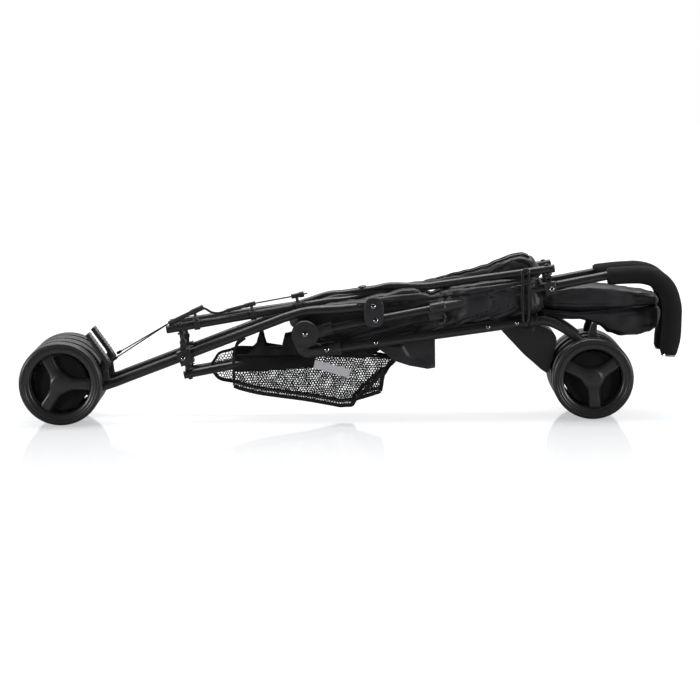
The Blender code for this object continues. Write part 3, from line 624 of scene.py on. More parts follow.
upper_straight = None
for pair, rear_pin, front_pin, rises, half, overhang, bow_side in (
    ("upper", REAR_UPPER_PIN, FRONT_UPPER_PIN, (26.0, 15.0), SIDE_Y, (23.0, 11.0), 1),
    ("lower", REAR_LOWER_PIN, FRONT_LOWER_PIN, (-15.0, 15.0), INNER_Y, (9.0, 11.0), -1),
):
    normal = cross_plane(rear_pin, front_pin, *rises)
    bowed_front = -1 if pair == "upper" else 1
    rear_side = 1 if rises[0] > 0 else -1
    for kind, front_sign in (("bowed", bowed_front), ("straight", -bowed_front)):
        rear = at(rear_pin, -front_sign * half) + normal * rises[0]
        front = at(front_pin, front_sign * half) + normal * rises[1]
        forward = (front - rear).normalized()
        start = rear - forward * overhang[0]
        end = front + forward * overhang[1]
        middle = (rear + front) / 2
        body = f"{pair}_cross_{kind}"
        bow = CROSS_BOW * bow_side if kind == "bowed" else 0.0
        shapes = [pressed_tube(start, end, normal, bow)]
        head = [(-1.5, 4.4), (0.0, 4.4), (0.9, 4.0), (1.7, 2.6), (2.0, 0.0)]
        if kind == "straight":
            for point, facing in ((rear, rear_side), (front, 1)):
                for way in (facing, -facing):
                    shapes.append(spun(point + normal * CROSS_R * way, normal * way, head, sides=24))
            top = CROSS_BOW + PRESSED_HALF
            shapes.append(spun(middle, normal * bow_side, [(0.0, 3.0), (top + 1, 3.0)], sides=20))
            washer = [(-0.6, 7.5), (0.6, 7.5), (1.6, 6.6), (2.4, 4.8), (2.6, 0.0)]
            shapes.append(spun(middle + normal * top * bow_side, normal * bow_side, washer, sides=32))
            if pair == "upper":
                upper_straight = (rear, forward, normal)
        else:
            other = rear if pair == "upper" else front
            facing = rear_side if pair == "upper" else 1
            shapes.append(spun(other + normal * CROSS_R * facing, normal * facing, head, sides=24))
        finished(f"{body}_tube", joined(*shapes), powder_coat, body, body, slot="tube")
        plug = [(-4.0, 5.0), (-0.3, 5.5), (-0.3, 6.9), (0.6, 6.9), (1.5, 6.2), (1.9, 4.6), (2.0, 0.0)]
        plugs = [spun(start, -forward, plug, sides=32), spun(end, forward, plug, sides=32)]
        finished(f"{body}_plugs", joined(*plugs), plug_plastic, body, slot="plastic")


# Cable guides: nylon barrels on short stems, clamped round the upper cross tube.
# They lead the brake cables, inside a thin black housing, up to their end clamp.
def over_tube(x, lift):
    rear, forward, normal = upper_straight
    return rear + forward * ((x - rear.x) / forward.x) + normal * lift


def guide_barrel(start, end, radius):
    """A barrel between two places in the side plane, level with the tube's own depth."""
    first = at(start, over_tube(start[0], 0).y)
    last = at(end, over_tube(end[0], 0).y)
    length = (last - first).length
    profile = [
        (0, radius * 0.62), (0.3, radius * 0.9), (1.0, radius), (length * 0.62, radius),
        (length * 0.65, radius * 1.22),
    ]
    profile += [(length - 1.0, radius * 1.22), (length - 0.3, radius * 1.1), (length, radius * 0.7)]
    return spun(first, last - first, profile, sides=28)


shapes = []
for x, height in ((-262.0, 22.0), (-166.0, 18.0), (-88.0, 19.0)):
    band = [(-5.0, 8.6), (-4.4, 9.4), (4.4, 9.4), (5.0, 8.6)]
    shapes.append(spun(over_tube(x, 0), upper_straight[1], band, sides=32))
    shapes.append(
        spun(over_tube(x, 6), upper_straight[2], [(0, 3.6), (4, 2.8), (height - 6, 2.6)], sides=20)
    )
shapes.append(guide_barrel(BRAKE_CABLE_END, (-250.0, 197.4), 3.9))
shapes.append(guide_barrel((-211.5, 189.3), (-161.3, 201.4), 3.3))
shapes.append(guide_barrel((-100.0, 210.8), (-78.0, 215.0), 4.2))
finished(
    "cable_guide_mouldings", joined(*shapes), dark_moulding, "upper_cross_straight", "cable_guides",
    slot="plastic",
)
housing_line = [(-253, 196.0), (-246, 193.5), (-236, 187.5), (-224, 186.0), (-210, 189.8)]
housing = piped(threaded([at(p, over_tube(p[0], 0).y) for p in housing_line], 6), 2.1, sides=14)
inner_line = [at((-163, 201.0), over_tube(-163, 0).y), at((-98, 211.2), over_tube(-98, 0).y)]
tip = [at((-79, 214.8), over_tube(-79, 0).y), at((-72, 216.0), over_tube(-72, 0).y)]
inner = joined(piped(inner_line, 1.3, sides=12), piped(tip, 1.3, sides=12))
finished("brake_cable_housing", joined(housing, inner), cable_cover, "upper_cross_straight", slot="steel")


# Handle tubes: straight powder-coated tube from the hub up into the grip, with a moulded bracket for the
# upper cross frame. The bracket is fixed by one rivet.
HANDLE_R = 7.5
HUB_PIVOT = (-76.4, 150.0)
HANDLE_SLOPE = math.atan(0.18)
FRONT_LEG_SLOPE = math.atan(0.128)


def along(point, slope, distance, across=0.0):
    return (
        point[0] + distance * math.cos(slope) - across * math.sin(slope),
        point[1] + distance * math.sin(slope) + across * math.cos(slope),
    )


def handle_axis(distance):
    return along(HUB_PIVOT, HANDLE_SLOPE, distance)


def turned_block(centre, size, slope, rounding=1.2):
    bm = bmesh.new()
    bmesh.ops.create_cube(bm, size=1.0)
    turn = Matrix.Rotation(-slope, 4, "Y")
    bmesh.ops.transform(
        bm, verts=bm.verts, matrix=Matrix.Translation(centre) @ turn @ Matrix.Diagonal((*size, 1.0))
    )
    return softened(mesh_of(bm), rounding, segments=3)


HUB_LIP = [(-6.0, 23.2), (1.2, 23.4), (2.4, 22.4), (2.7, 21.0), (2.2, 19.8), (0.9, 19.2), (-6.0, 19.2)]
PLATE_MIDDLE = (42.0, 185.8)
PLATE_HALF = (17.0, 25.6)
PLATE_POINTS = 40
PLATE_ROUNDNESS = 0.72
plate_edge = []
for step in range(PLATE_POINTS):
    turn = 2 * math.pi * step / PLATE_POINTS
    wide = PLATE_HALF[0] * math.copysign(abs(math.cos(turn)) ** PLATE_ROUNDNESS, math.cos(turn))
    high = PLATE_HALF[1] * math.copysign(abs(math.sin(turn)) ** PLATE_ROUNDNESS, math.sin(turn))
    plate_edge.append((PLATE_MIDDLE[0] + wide, PLATE_MIDDLE[1] + high))
for side, sign in SIDES:
    y = sign * SIDE_Y
    body = f"handle_{side}"
    lip = spun(at(HUB_PIVOT, y + sign * 13.8), (0, sign, 0), HUB_LIP, sides=64, ring=True)
    finished(f"hub_lip_{side}", lip, dark_moulding, body, slot="plastic")
    sleeve_from = at(handle_axis(105.5), y)
    sleeve_to = at(handle_axis(133.5), y)
    sleeve = spun(
        sleeve_from, sleeve_to - sleeve_from, [(0, 9.8), (0.9, 10.7), (27.1, 10.7), (28, 9.8)], sides=36
    )
    face = plate(plate_edge, y + sign * 8.1, y + sign * 12.6, 1.3)
    bolt = spun(at(LEG_PIVOT, y - 8.5), (0, 1, 0), [(0, 4.0), (17, 4.0)], sides=24)
    finished(
        f"pivot_plate_{side}_moulding",
        joined(sleeve, face, bolt),
        dark_moulding,
        body,
        f"pivot_plate_{side}",
        slot="plastic",
    )
    shaft = piped(
        [at(handle_axis(27), y), at(handle_axis(300), y), at(handle_axis(540), y)], HANDLE_R, sides=28
    )
    finished(f"handle_shaft_{side}", shaft, powder_coat, body, slot="tube")
    seat = (344.0, 150.0 + 0.18 * 420.4)
    bracket = [turned_block(at((seat[0], seat[1] - 3.0), y), (19, 21, 21), HANDLE_SLOPE)]
    for outward in (-1, 1):
        near = y + outward * 4.8
        bracket.append(
            spun(at(FRONT_UPPER_PIN, near), (0, outward, 0), [(0, 4.6), (2.5, 4.6), (3.0, 4.0)], sides=32)
        )
        web = [(336.8, 228.0), (345.2, 228.0), (345.2, 240.5), (336.8, 240.5)]
        bracket.append(plate(web, near, near + outward * 3.0, 0.5, 2))
    bracket.append(spun(at(FRONT_UPPER_PIN, y - 6), (0, 1, 0), [(0, 3.0), (12, 3.0)], sides=24))
    finished(
        f"handle_bracket_{side}", joined(*bracket), dark_moulding, body, f"handle_tube_{side}",
        slot="plastic",
    )


# Grips: hooked foam sleeves, slipped wet over the bent end of each handle tube.
# A bright pressed ring closes the open end.
bright_steel = moulded_finish(
    "Bright steel", (0.50, 0.50, 0.51), (0.62, 0.62, 0.63), 0.24, 1500.0, 0.02, metallic=1.0
)
grip_foam = moulded_finish(
    "Grip foam", (0.0078, 0.0074, 0.0082), (0.0118, 0.0114, 0.0124), 0.80, 1900.0, 0.18,
    patches=45.0, shine=0.16
)
GRIP_SIDES = 40
GRIP_START = {"right": (441, 242.0), "left": (426, 239.8)}
GRIP_LINE = [
    (456, 243.0), (477, 244.0), (503, 243.6), (526, 236), (543, 218.5),
    (551.5, 192), (552, 169), (550.5, 140), (545.5, 106),
]


def foam_sleeve(line, start_radius, end_radius):
    """A sleeve along a line that grows from one radius to the other and is rounded over at both ends."""
    path = threaded(line, 7)
    length = sum((b - a).length for a, b in zip(path, path[1:]))
    rows = []
    gone = 0.0
    for i, point in enumerate(path):
        if i:
            gone += (point - path[i - 1]).length
        tangent = (path[min(i + 1, len(path) - 1)] - path[max(i - 1, 0)]).normalized()
        side = Vector((0, 1, 0))
        up = tangent.cross(side).normalized()
        from_end = min(gone, length - gone)
        roll = 1.0 - 0.16 * max(0.0, 1.0 - from_end / 4.0) ** 2
        radius = start_radius + (end_radius - start_radius) * eased(gone / length * 1.6)
        radius -= 2.2 * eased((gone - length + 26.0) / 26.0)
        row = []
        for k in range(GRIP_SIDES):
            turn = 2 * math.pi * k / GRIP_SIDES
            spot = point + (side * math.cos(turn) + up * math.sin(turn)) * radius
            wobble = 1.0 + 0.014 * noise.noise(spot * 0.05)
            row.append(point + (spot - point) * roll * wobble)
        rows.append(row)
    return skinned(rows)


for side, sign in SIDES:
    y = sign * SIDE_Y
    body = f"handle_{side}"
    sleeve = foam_sleeve([at(p, y) for p in (GRIP_START[side], *GRIP_LINE)], 14.9, 16.8)
    finished(f"grip_foam_{side}", sleeve, grip_foam, body, f"handle_grip_{side}", sharp=60.0, slot="foam")
    end_point = at(GRIP_LINE[-1], y)
    outward = (end_point - at(GRIP_LINE[-2], y)).normalized()
    ring = [(-2.0, 12.4), (1.4, 12.6), (2.3, 12.0), (2.6, 10.2), (1.8, 8.6), (0.9, 0.0)]
    finished(
        f"grip_end_ring_{side}", spun(end_point, outward, ring, sides=48), bright_steel, body,
        slot="steel",
    )


# Strap collar on each handle tube: a nylon sleeve below the folded seat.
# A hook of the same nylon stands out at its side, for a strap.
HOOK_LINE = [(141, 182), (146, 186), (158, 184), (164, 176), (161, 165), (152, 160), (143, 166)]
for side, sign in SIDES:
    y = sign * SIDE_Y
    body = f"handle_{side}"
    first = at(handle_axis(218), y)
    last = at(handle_axis(278), y)
    collar = [
        (0, 8.2), (0.6, 10.4), (1.5, 11.0), (25.0, 11.0), (26.0, 10.2), (27.0, 9.8), (58.0, 9.0),
        (60.0, 8.0),
    ]
    shapes = [spun(first, last - first, collar, sides=36)]
    shapes.append(turned_block(at((147.5, 180.0), y), (24, 15, 18), HANDLE_SLOPE, 1.6))
    hook = piped(threaded([at(p, y + sign * 8.5) for p in HOOK_LINE], 6), 1.9, sides=14)
    shapes.append(hook)
    finished(f"strap_collar_{side}", joined(*shapes), dark_moulding, body, slot="plastic")


# Front legs: powder-coated tube, straight from the knuckle and bent down into the caster.
# A moulded clip near the bend guides the transport lock.
def front_axis(distance, across=0.0):
    return along(HUB_PIVOT, FRONT_LEG_SLOPE, distance, across - 33.3)


CASTER_TOP = (402.0, 127.0)
STEM = Vector((math.cos(math.radians(-42.5)), 0, math.sin(math.radians(-42.5))))
for side, sign in SIDES:
    y = sign * SIDE_Y
    body = f"front_leg_{side}"
    bend_line = [
        front_axis(392), (333.0, 167.4), (349.0, 162.5), (365.0, 154.5), (383.0, 142.5), CASTER_TOP
    ]
    bend = threaded([at(point, y) for point in bend_line], 7)
    shaft = piped([at(front_axis(14), y), at(front_axis(200), y), *bend], LEG_R, sides=28)
    finished(f"front_leg_shaft_{side}", shaft, powder_coat, body, slot="tube")
    clip_profile = [
        (0, 9.2), (0.6, 10.4), (4.5, 10.5), (5.2, 9.6), (10.8, 9.6), (11.5, 10.5), (15.4, 10.4), (16, 9.2)
    ]
    clip = spun(
        at(front_axis(383), y), at(front_axis(399), y) - at(front_axis(383), y), clip_profile, sides=40
    )
    tail_outline = [front_axis(385, -9), front_axis(392, -9), front_axis(390, -17), front_axis(386, -17)]
    tail = plate(tail_outline, y - 4, y + 4, 0.8)
    stub_end = sign * (INNER_Y - 4.8)
    inner_end = sign * (INNER_Y + 4.8)
    boss = spun(at(FRONT_LOWER_PIN, y), (0, -sign, 0), [(0, 4.6), (abs(y - inner_end), 4.6)], sides=28)
    stub = spun(
        at(FRONT_LOWER_PIN, y), (0, -sign, 0), [(0, 3.0), (abs(y - stub_end) + 1.5, 3.0)], sides=24
    )
    head = spun(
        at(FRONT_LOWER_PIN, stub_end), (0, -sign, 0), [(0, 4.6), (1.2, 4.6), (2.0, 3.6), (2.2, 0)],
        sides=28,
    )
    knob = spun(at(CASTER_TOP, y), STEM, [(-6, 8.6), (-5.2, 9.5), (5.2, 9.5), (6, 8.8)], sides=40)
    pivot = spun(at(CASTER_TOP, y), STEM, [(0, 5.0), (30, 5.0)], sides=24)
    finished(
        f"front_leg_fittings_{side}",
        joined(clip, tail, boss, stub, head, knob, pivot),
        dark_moulding,
        body,
        f"front_leg_{side}",
        slot="plastic",
    )


# Casters: one nylon moulding each, with a cup for the stem, a swivel lever on top and a blade down to
# the axle. The fork turns on a steel stem in the front leg's knob.
BLADE = [
    (416, 128), (436, 128), (452, 122), (461, 110), (452, 88), (432, 60), (420, 54), (408, 56),
    (401, 68), (404, 82),
    (414, 106),
]
LEVER = [
    (407, 126), (409, 146), (414, 160), (419, 163.5), (424, 160), (423, 148), (428, 134),
    (434, 124), (420, 116),
]
for side, sign in SIDES:
    y = sign * SIDE_Y
    cup = spun(
        at(CASTER_TOP, y) + STEM * 6.1, STEM, [(0, 8.8), (0.8, 9.6), (29, 9.6), (30, 8.8)], sides=36
    )
    hub_boss = spun(
        at(FRONT_AXLE, y - 13.6), (0, 1, 0), [(0, 12), (1, 13), (26.2, 13), (27.2, 12)], sides=40
    )
    fork = joined(cup, plate(BLADE, y - 6, y + 6, 1.5), plate(LEVER, y - 4.5, y + 4.5, 1.2), hub_boss)
    finished(
        f"caster_fork_{side}_moulding", fork, dark_moulding, f"caster_{side}",
        f"caster_fork_{side}", slot="plastic",
    )


# Transport lock: spring wire bent to a narrow loop. It hooks the folded frame together over the handle tube.
LOOP_Y = -58.5
collar_mid = front_axis(376)
ring_profile = [(0, 8.4), (0, 10.2), (0.8, 10.9), (6.2, 10.9), (7, 10.2), (7, 8.4)]
ring_start = at(front_axis(373.5), -SIDE_Y)
ring = spun(ring_start, at(front_axis(380.5), -SIDE_Y) - ring_start, ring_profile, sides=40, ring=True)
left_foot = at((collar_mid[0] - 2.0, collar_mid[1]), -SIDE_Y - LEG_R - 1.6)
right_foot = at((collar_mid[0] + 2.0, collar_mid[1]), -SIDE_Y - LEG_R - 1.6)
loop_line = [
    left_foot,
    Vector((left_foot.x - 2.5, LOOP_Y, left_foot.z + 12)),
    Vector((295.5, LOOP_Y, 244)),
    Vector((297.5, LOOP_Y, 254)),
    Vector((302.0, LOOP_Y, 256.5)),
    Vector((306.0, LOOP_Y, 253)),
    Vector((306.5, LOOP_Y, 244)),
    Vector((right_foot.x + 3.5, LOOP_Y, right_foot.z + 12)),
    right_foot,
]
black_wire = moulded_finish(
    "Coated spring wire", (0.006, 0.006, 0.0064), (0.009, 0.009, 0.0095), 0.22, 900.0, 0.01, shine=0.5
)
lock = joined(piped(threaded(loop_line, 6), 2.7, sides=18), ring)
finished("transport_lock", lock, black_wire, "lock_loop", "lock_loop", slot="steel")


# Rivets: black nickel steel, domed and polished. They sit at the joints of the frame.
black_nickel = moulded_finish(
    "Black nickel", (0.20, 0.20, 0.205), (0.25, 0.25, 0.255), 0.07, 500.0, 0.002, metallic=1.0
)
DOME = [(-0.6, 1.0), (0.0, 1.0), (0.22, 0.97), (0.5, 0.82), (0.78, 0.55), (0.94, 0.28), (1.0, 0.0)]


def rivet(point, y_face, sign, radius, height):
    profile = [(rise * height, share * radius) for rise, share in DOME]
    return spun(at(point, y_face), (0, sign, 0), profile, sides=36)


for side, sign in SIDES:
    y = sign * SIDE_Y
    handle_rivets = [
        rivet(LEG_PIVOT, y + sign * 12.4, sign, 5.3, 3.6),
        rivet((45, 171.5), y + sign * 12.4, sign, 5.3, 3.6),
        rivet(HUB_PIVOT, y + sign * 16.0, sign, 5.3, 3.3),
        rivet((346, 221.5), y + sign * 10.3, sign, 5.2, 3.6),
    ]
    finished(
        f"handle_rivets_{side}", joined(*handle_rivets), black_nickel, f"handle_{side}", sharp=60.0,
        slot="steel",
    )
    leg_rivets = [rivet((-286, leg_height(-282) - 2), y + sign * 11.4, sign, 4.8, 3.2)]
    finished(
        f"clamp_rivet_{side}", joined(*leg_rivets), black_nickel, f"rear_leg_{side}", sharp=60.0,
        slot="steel",
    )
    front_rivets = [rivet(front_axis(33, 1), y + sign * 9.5, sign, 5.0, 3.2)]
    for distance in (118, 312, 362):
        front_rivets.append(rivet(front_axis(distance, 1), y + sign * (LEG_R - 1.2), sign, 4.7, 3.6))
    finished(
        f"front_rivets_{side}", joined(*front_rivets), black_nickel, f"front_leg_{side}",
        sharp=60.0, slot="steel",
    )


# Seat: black polyester with thin padding, sewn round the handle tubes and gathered lengthwise as the
# frame folds. The backrest stands up as a piped hump between the upper cross tubes.
def plain_weave_effect():
    """Over-and-under threads from a UV map in metres, with a slow change of tone."""
    tree, given, result = new_effect("Plain weave", {"Threads": 2200.0, "Slub": 60.0}, ("Height", "Tone"))
    cloth_map = add_node(tree, "UVMap", uv_map="Cloth")
    split = add_node(tree, "SeparateXYZ")
    cross = add_node(tree, "Math", operation="MULTIPLY")
    place = add_node(tree, "TexCoord")
    slub = add_node(tree, "TexNoise", {"Detail": 4.0})
    for number, axis in enumerate(("X", "Y")):
        count = add_node(tree, "Math", operation="MULTIPLY")
        wave = add_node(tree, "Math", operation="SINE")
        wire(tree, (split, axis, count, 0), (given, "Threads", count, 1))
        wire(tree, (count, 0, wave, 0), (wave, 0, cross, number))
    wire(
        tree,
        (cloth_map, "UV", split, "Vector"),
        (place, "Object", slub, "Vector"),
        (given, "Slub", slub, "Scale"),
        (cross, 0, result, "Height"),
        (slub, "Fac", result, "Tone"),
    )
    return tree


plain_weave = plain_weave_effect()


def woven_finish(name, dark, light, roughness, threads, depth, sheen, shine=0.2):
    """A woven cloth with thread relief and the soft sheen of fine fibres."""
    settings = {
        "Roughness": roughness,
        "Specular IOR Level": shine,
        "Sheen Weight": sheen,
        "Sheen Roughness": 0.45,
        "Sheen Tint": (0.5, 0.48, 0.52, 1.0),
    }
    material, _, _ = drifting_finish(
        name, plain_weave, {"Threads": threads}, (dark, light), 0.5, depth, settings
    )
    return material


seat_polyester = woven_finish(
    "Black polyester", (0.0062, 0.0055, 0.0070), (0.0135, 0.0121, 0.0150), 0.48, 5200.0, 0.05, 0.05,
    shine=0.45
)
piping_tape = woven_finish(
    "Piping tape", (0.007, 0.007, 0.0075), (0.012, 0.012, 0.013), 0.5, 6000.0, 0.05, 0.15
)


def lofted(loops, closed=True):
    """A skin through loops of points, with a UV map of real lengths for the weave."""
    bm = bmesh.new()
    cloth_map = bm.loops.layers.uv.new("Cloth")
    rows = [[bm.verts.new(p) for p in loop] for loop in loops]
    count = len(rows[0])
    along_lengths = [0.0]
    for first, second in zip(loops, loops[1:]):
        along_lengths.append(along_lengths[-1] + (Vector(second[0]) - Vector(first[0])).length * 0.001)
    round_lengths = []
    for loop in loops:
        lengths = [0.0]
        for i in range(count):
            lengths.append(lengths[-1] + (Vector(loop[(i + 1) % count]) - Vector(loop[i])).length * 0.001)
        round_lengths.append(lengths)
    steps = count if closed else count - 1
    for r, (first, second) in enumerate(zip(rows, rows[1:])):
        for i in range(steps):
            j = (i + 1) % count
            face = bm.faces.new((first[i], first[j], second[j], second[i]))
            corners = ((r, i), (r, i + 1), (r + 1, i + 1), (r + 1, i))
            for corner, (row, step) in zip(face.loops, corners):
                corner[cloth_map].uv = (along_lengths[row], round_lengths[row][step])
    if closed:
        bm.faces.new(rows[0])
        bm.faces.new(rows[-1])
    return mesh_of(bm)


def between(table, x):
    """Values of a table of stations at a place between them, eased from one station to the next."""
    if x <= table[0][0]:
        return table[0][1:]
    for first, second in zip(table, table[1:]):
        if x <= second[0]:
            t = (x - first[0]) / (second[0] - first[0])
            t = t * t * (3 - 2 * t)
            return tuple(a + (b - a) * t for a, b in zip(first[1:], second[1:]))
    return table[-1][1:]


FOLD_POINTS = 112


def folded_cloth(table, focus, folds, depth, seed, steps, square, rough, hollow=0.0):
    """Cloth folded lengthwise. The table holds (x, bottom, top, half width). Its folds fan out from a focus.
    A hollow lifts the underside between the two side edges."""
    loops = []
    start, end = table[0][0], table[-1][0]
    for step in range(steps + 1):
        share = step / steps
        x = start + (end - start) * share
        bottom, top, half = between(table, x)
        closing = min(1.0, math.sqrt(max(0.0, min(share, 1 - share)) * 16.0) + 0.25)
        loop = []
        for i in range(FOLD_POINTS):
            angle = 2 * math.pi * i / FOLD_POINTS
            c, s = math.cos(angle), math.sin(angle)
            y = half * math.copysign(abs(c) ** square, c)
            z = (top - bottom) / 2 * math.copysign(abs(s) ** square, s)
            if s < 0:
                z += hollow * max(0.0, 1.0 - (y / (half * 0.8)) ** 4)
            height = (top + bottom) / 2 + z
            ray = math.atan2(height - focus[1], abs(focus[0] - x))
            crossing = abs(noise.noise(Vector((ray * folds, seed * 3.1, x * 0.004 + c * 0.25))))
            valley = 1.0 - min(1.0, crossing * 2.4) ** 0.6
            spot = Vector((x * 0.014, y * 0.05, z * 0.07 + seed))
            crease = rough * (noise.noise(spot) + 0.5 * noise.noise(spot * 2.9)) - depth * valley
            loop.append(
                Vector((x, y * closing + crease * c, height - z * (1 - closing) + crease * s * 0.8))
            )
        loops.append(loop)
    return lofted(loops)


seat_stations = [
    (-104, 152, 184, 20),
    (-90, 146, 192, 27),
    (-60, 133, 199, 29),
    (-22, 127, 204, 31),
    (8, 128, 208, 35),
    (60, 132, 216, 36.5),
    (98, 137, 223.5, 37),
    (110, 140, 224, 37),
    (119, 142, 222, 37),
    (131, 144, 217, 37),
    (142, 145, 213.5, 37),
    (152, 147, 217, 38),
    (163, 150, 224, 42),
    (180, 155, 228.5, 49),
    (206, 161, 232, 56),
    (240, 165, 237, 56.5),
    (275, 169, 241, 56.5),
    (309, 173, 242.5, 55.5),
    (326, 176, 241, 50),
    (340, 184, 234, 36),
]
seat_shape = folded_cloth(
    seat_stations, (385, 246), 20.0, 5.5, 1.0, steps=190, square=0.42, rough=1.8, hollow=15.0
)
bundle = finished("seat_bundle", seat_shape, seat_polyester, None, "seat_cloth", sharp=80.0, slot="cloth")
backrest = [
    (-60, 188, 204, 6),
    (-14, 197, 213, 8),
    (40, 207, 222, 9),
    (90, 219, 230, 9),
    (122, 227, 233, 9),
    (150, 225.5, 238, 12),
    (168, 219, 243, 14),
    (184, 213, 247, 16),
    (208, 212, 252, 18),
    (234, 214, 259, 21),
    (260, 218, 269, 25),
    (280, 222, 276.5, 28),
    (298, 226, 279.5, 28),
    (314, 228, 275, 27),
    (325, 232, 266, 25),
    (332, 236, 254, 21),
]
hump_shape = folded_cloth(backrest, (420, 230), 9.0, 1.2, 4.0, steps=150, square=0.7, rough=0.5)
hump = finished("backrest_pad", hump_shape, seat_polyester, None, "seat_cloth", sharp=80.0, slot="cloth")


def backrest_edge(x, side):
    _, top, half = between(backrest, x)
    return Vector((x, side * half * 0.62, top - 1.0))


arch_line = [
    (236, 20, 243), (247, 23, 252), (259, 26, 259), (277, 29, 268),
    (292, 30, 272), (306, 29.5, 268), (314, 28, 258), (317, 26, 246),
]
piping_shapes = []
for side in (-1, 1):
    edge = [backrest_edge(x, side) for x in range(130, 318, 10)]
    arch = [Vector((x, side * y, z)) for x, y, z in arch_line]
    for line in (edge, arch):
        piping_shapes.append(piped(threaded(line, 3), 1.4, sides=10))
piping = finished(
    "backrest_piping", joined(*piping_shapes), piping_tape, None, "seat_cloth", sharp=60.0, slot="cloth"
)

# The seat's front corners hang down between the front legs, folded over once along a slanting crease.
FLAP_TOP = [(48, 128), (60, 138), (82, 143), (110, 148), (147, 152)]
FLAP_BOTTOM = [(48, 121), (60, 113), (75, 100), (101, 91), (133, 85), (147, 87)]
CREASE = [(60, 133), (90, 129), (101, 111), (147, 90)]


def line_height(line, x):
    for first, second in zip(line, line[1:]):
        if x <= second[0]:
            t = (x - first[0]) / (second[0] - first[0])
            return first[1] + (second[1] - first[1]) * max(0.0, min(1.0, t))
    return line[-1][1]


flaps = []
for side in (-1, 1):
    loops = []
    for step in range(41):
        x = 48.5 + 98.0 * step / 40
        top, bottom, crease = (line_height(line, x) for line in (FLAP_TOP, FLAP_BOTTOM, CREASE))
        front, back = [], []
        for k in range(25):
            z = bottom + (top - bottom) * k / 24
            tucked = 3.4 * eased((crease - z) / 7.0)
            wave = 1.2 * noise.noise(Vector((x * 0.04, z * 0.07, side * 3.0)))
            rolled = 1.4 * math.sqrt(max(0.0, 1.0 - (2.0 * k / 24 - 1.0) ** 8))
            front.append(Vector((x, side * (34.5 + tucked + wave + rolled), z)))
            back.append(Vector((x, side * (31.5 + tucked + wave - rolled), z)))
        loops.append(front + back[::-1])
    flaps.append(lofted(loops))
corners = finished(
    "seat_front_corners", joined(*flaps), seat_polyester, None, "seat_cloth", sharp=70.0, slot="cloth"
)
for cloth in (bundle, hump, piping, corners):
    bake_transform(cloth)


# Hood: the canopy's cloth, folded in two soft rolls.
# They lie under the handle tubes and end inside the grips.
upper_roll = [
    (317, 190, 224, 22),
    (330, 187, 227, 30),
    (352, 182.5, 228.5, 36),
    (377, 180, 229, 37),
    (401, 178, 228.5, 37),
    (440, 181, 225, 36),
    (472, 183, 220.5, 34),
    (500, 185.5, 216.5, 31),
    (522, 187, 210, 29),
    (534, 186, 205, 23),
]
lower_roll = [
    (317, 174, 190, 22),
    (335, 169, 185, 31),
    (361, 167, 182.5, 34),
    (395, 166, 179, 35),
    (409, 163, 179, 36),
    (428, 155, 181, 36),
    (446, 142, 182, 36),
    (468, 135.5, 183.5, 35),
    (495, 137, 185.5, 33),
    (515, 142, 188, 31),
    (528, 148, 190, 28),
    (537, 160, 189, 20),
]
upper_shape = folded_cloth(upper_roll, (270, 200), 11.0, 2.6, 2.0, steps=130, square=0.55, rough=1.8)
upper_hood = finished(
    "hood_upper_roll", upper_shape, seat_polyester, None, "hood_cloth", sharp=80.0, slot="cloth"
)
lower_shape = folded_cloth(lower_roll, (300, 176), 8.0, 2.0, 6.0, steps=130, square=0.5, rough=1.8)
lower_hood = finished(
    "hood_lower_roll", lower_shape, seat_polyester, None, "hood_cloth", sharp=80.0, slot="cloth"
)
for roll in (upper_hood, lower_hood):
    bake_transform(roll)


# Leg rest: coated cloth over a thin board.
# It hangs between the front legs under the seat's front edge.
coated_cloth = woven_finish(
    "Coated cloth", (0.004, 0.004, 0.0044), (0.006, 0.006, 0.0066), 0.28, 5200.0, 0.015, 0.02, shine=0.5
)
LEG_REST_HALF = 36.5
LEG_REST_LINE = [(261, 149), (270, 139), (283, 125), (300, 107), (318, 90.5), (329, 81), (338, 75)]
LEG_REST_BACK = [(263, 154), (290, 157), (325, 157), (346, 148), (355, 135), (352, 114), (341, 77)]


def leg_rest_mesh():
    front_line = threaded([at(p, 0) for p in LEG_REST_LINE], 5)
    back_line = threaded([at(p, 0) for p in LEG_REST_BACK], 5)
    loops = []
    for front, back in zip(front_line, back_line):
        loop = []
        for i in range(24):
            share = i / 23
            y = -LEG_REST_HALF + 2 * LEG_REST_HALF * share
            sag = 1.5 * math.sin(math.pi * share) + 0.8 * noise.noise(
                Vector((front.x * 0.04, y * 0.05, 3.0))
            )
            loop.append(Vector((front.x + sag * 0.6, y, front.z + sag)))
        for i in range(24):
            share = i / 23
            y = LEG_REST_HALF - 2 * LEG_REST_HALF * share
            sag = 1.2 * noise.noise(Vector((back.x * 0.04, y * 0.06, 9.0)))
            loop.append(Vector((back.x, y, back.z + sag)))
        loops.append(loop)
    return lofted(loops)


rest = finished(
    "leg_rest_skin", leg_rest_mesh(), coated_cloth, None, "leg_rest", sharp=60.0, slot="gloss"
)
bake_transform(rest)
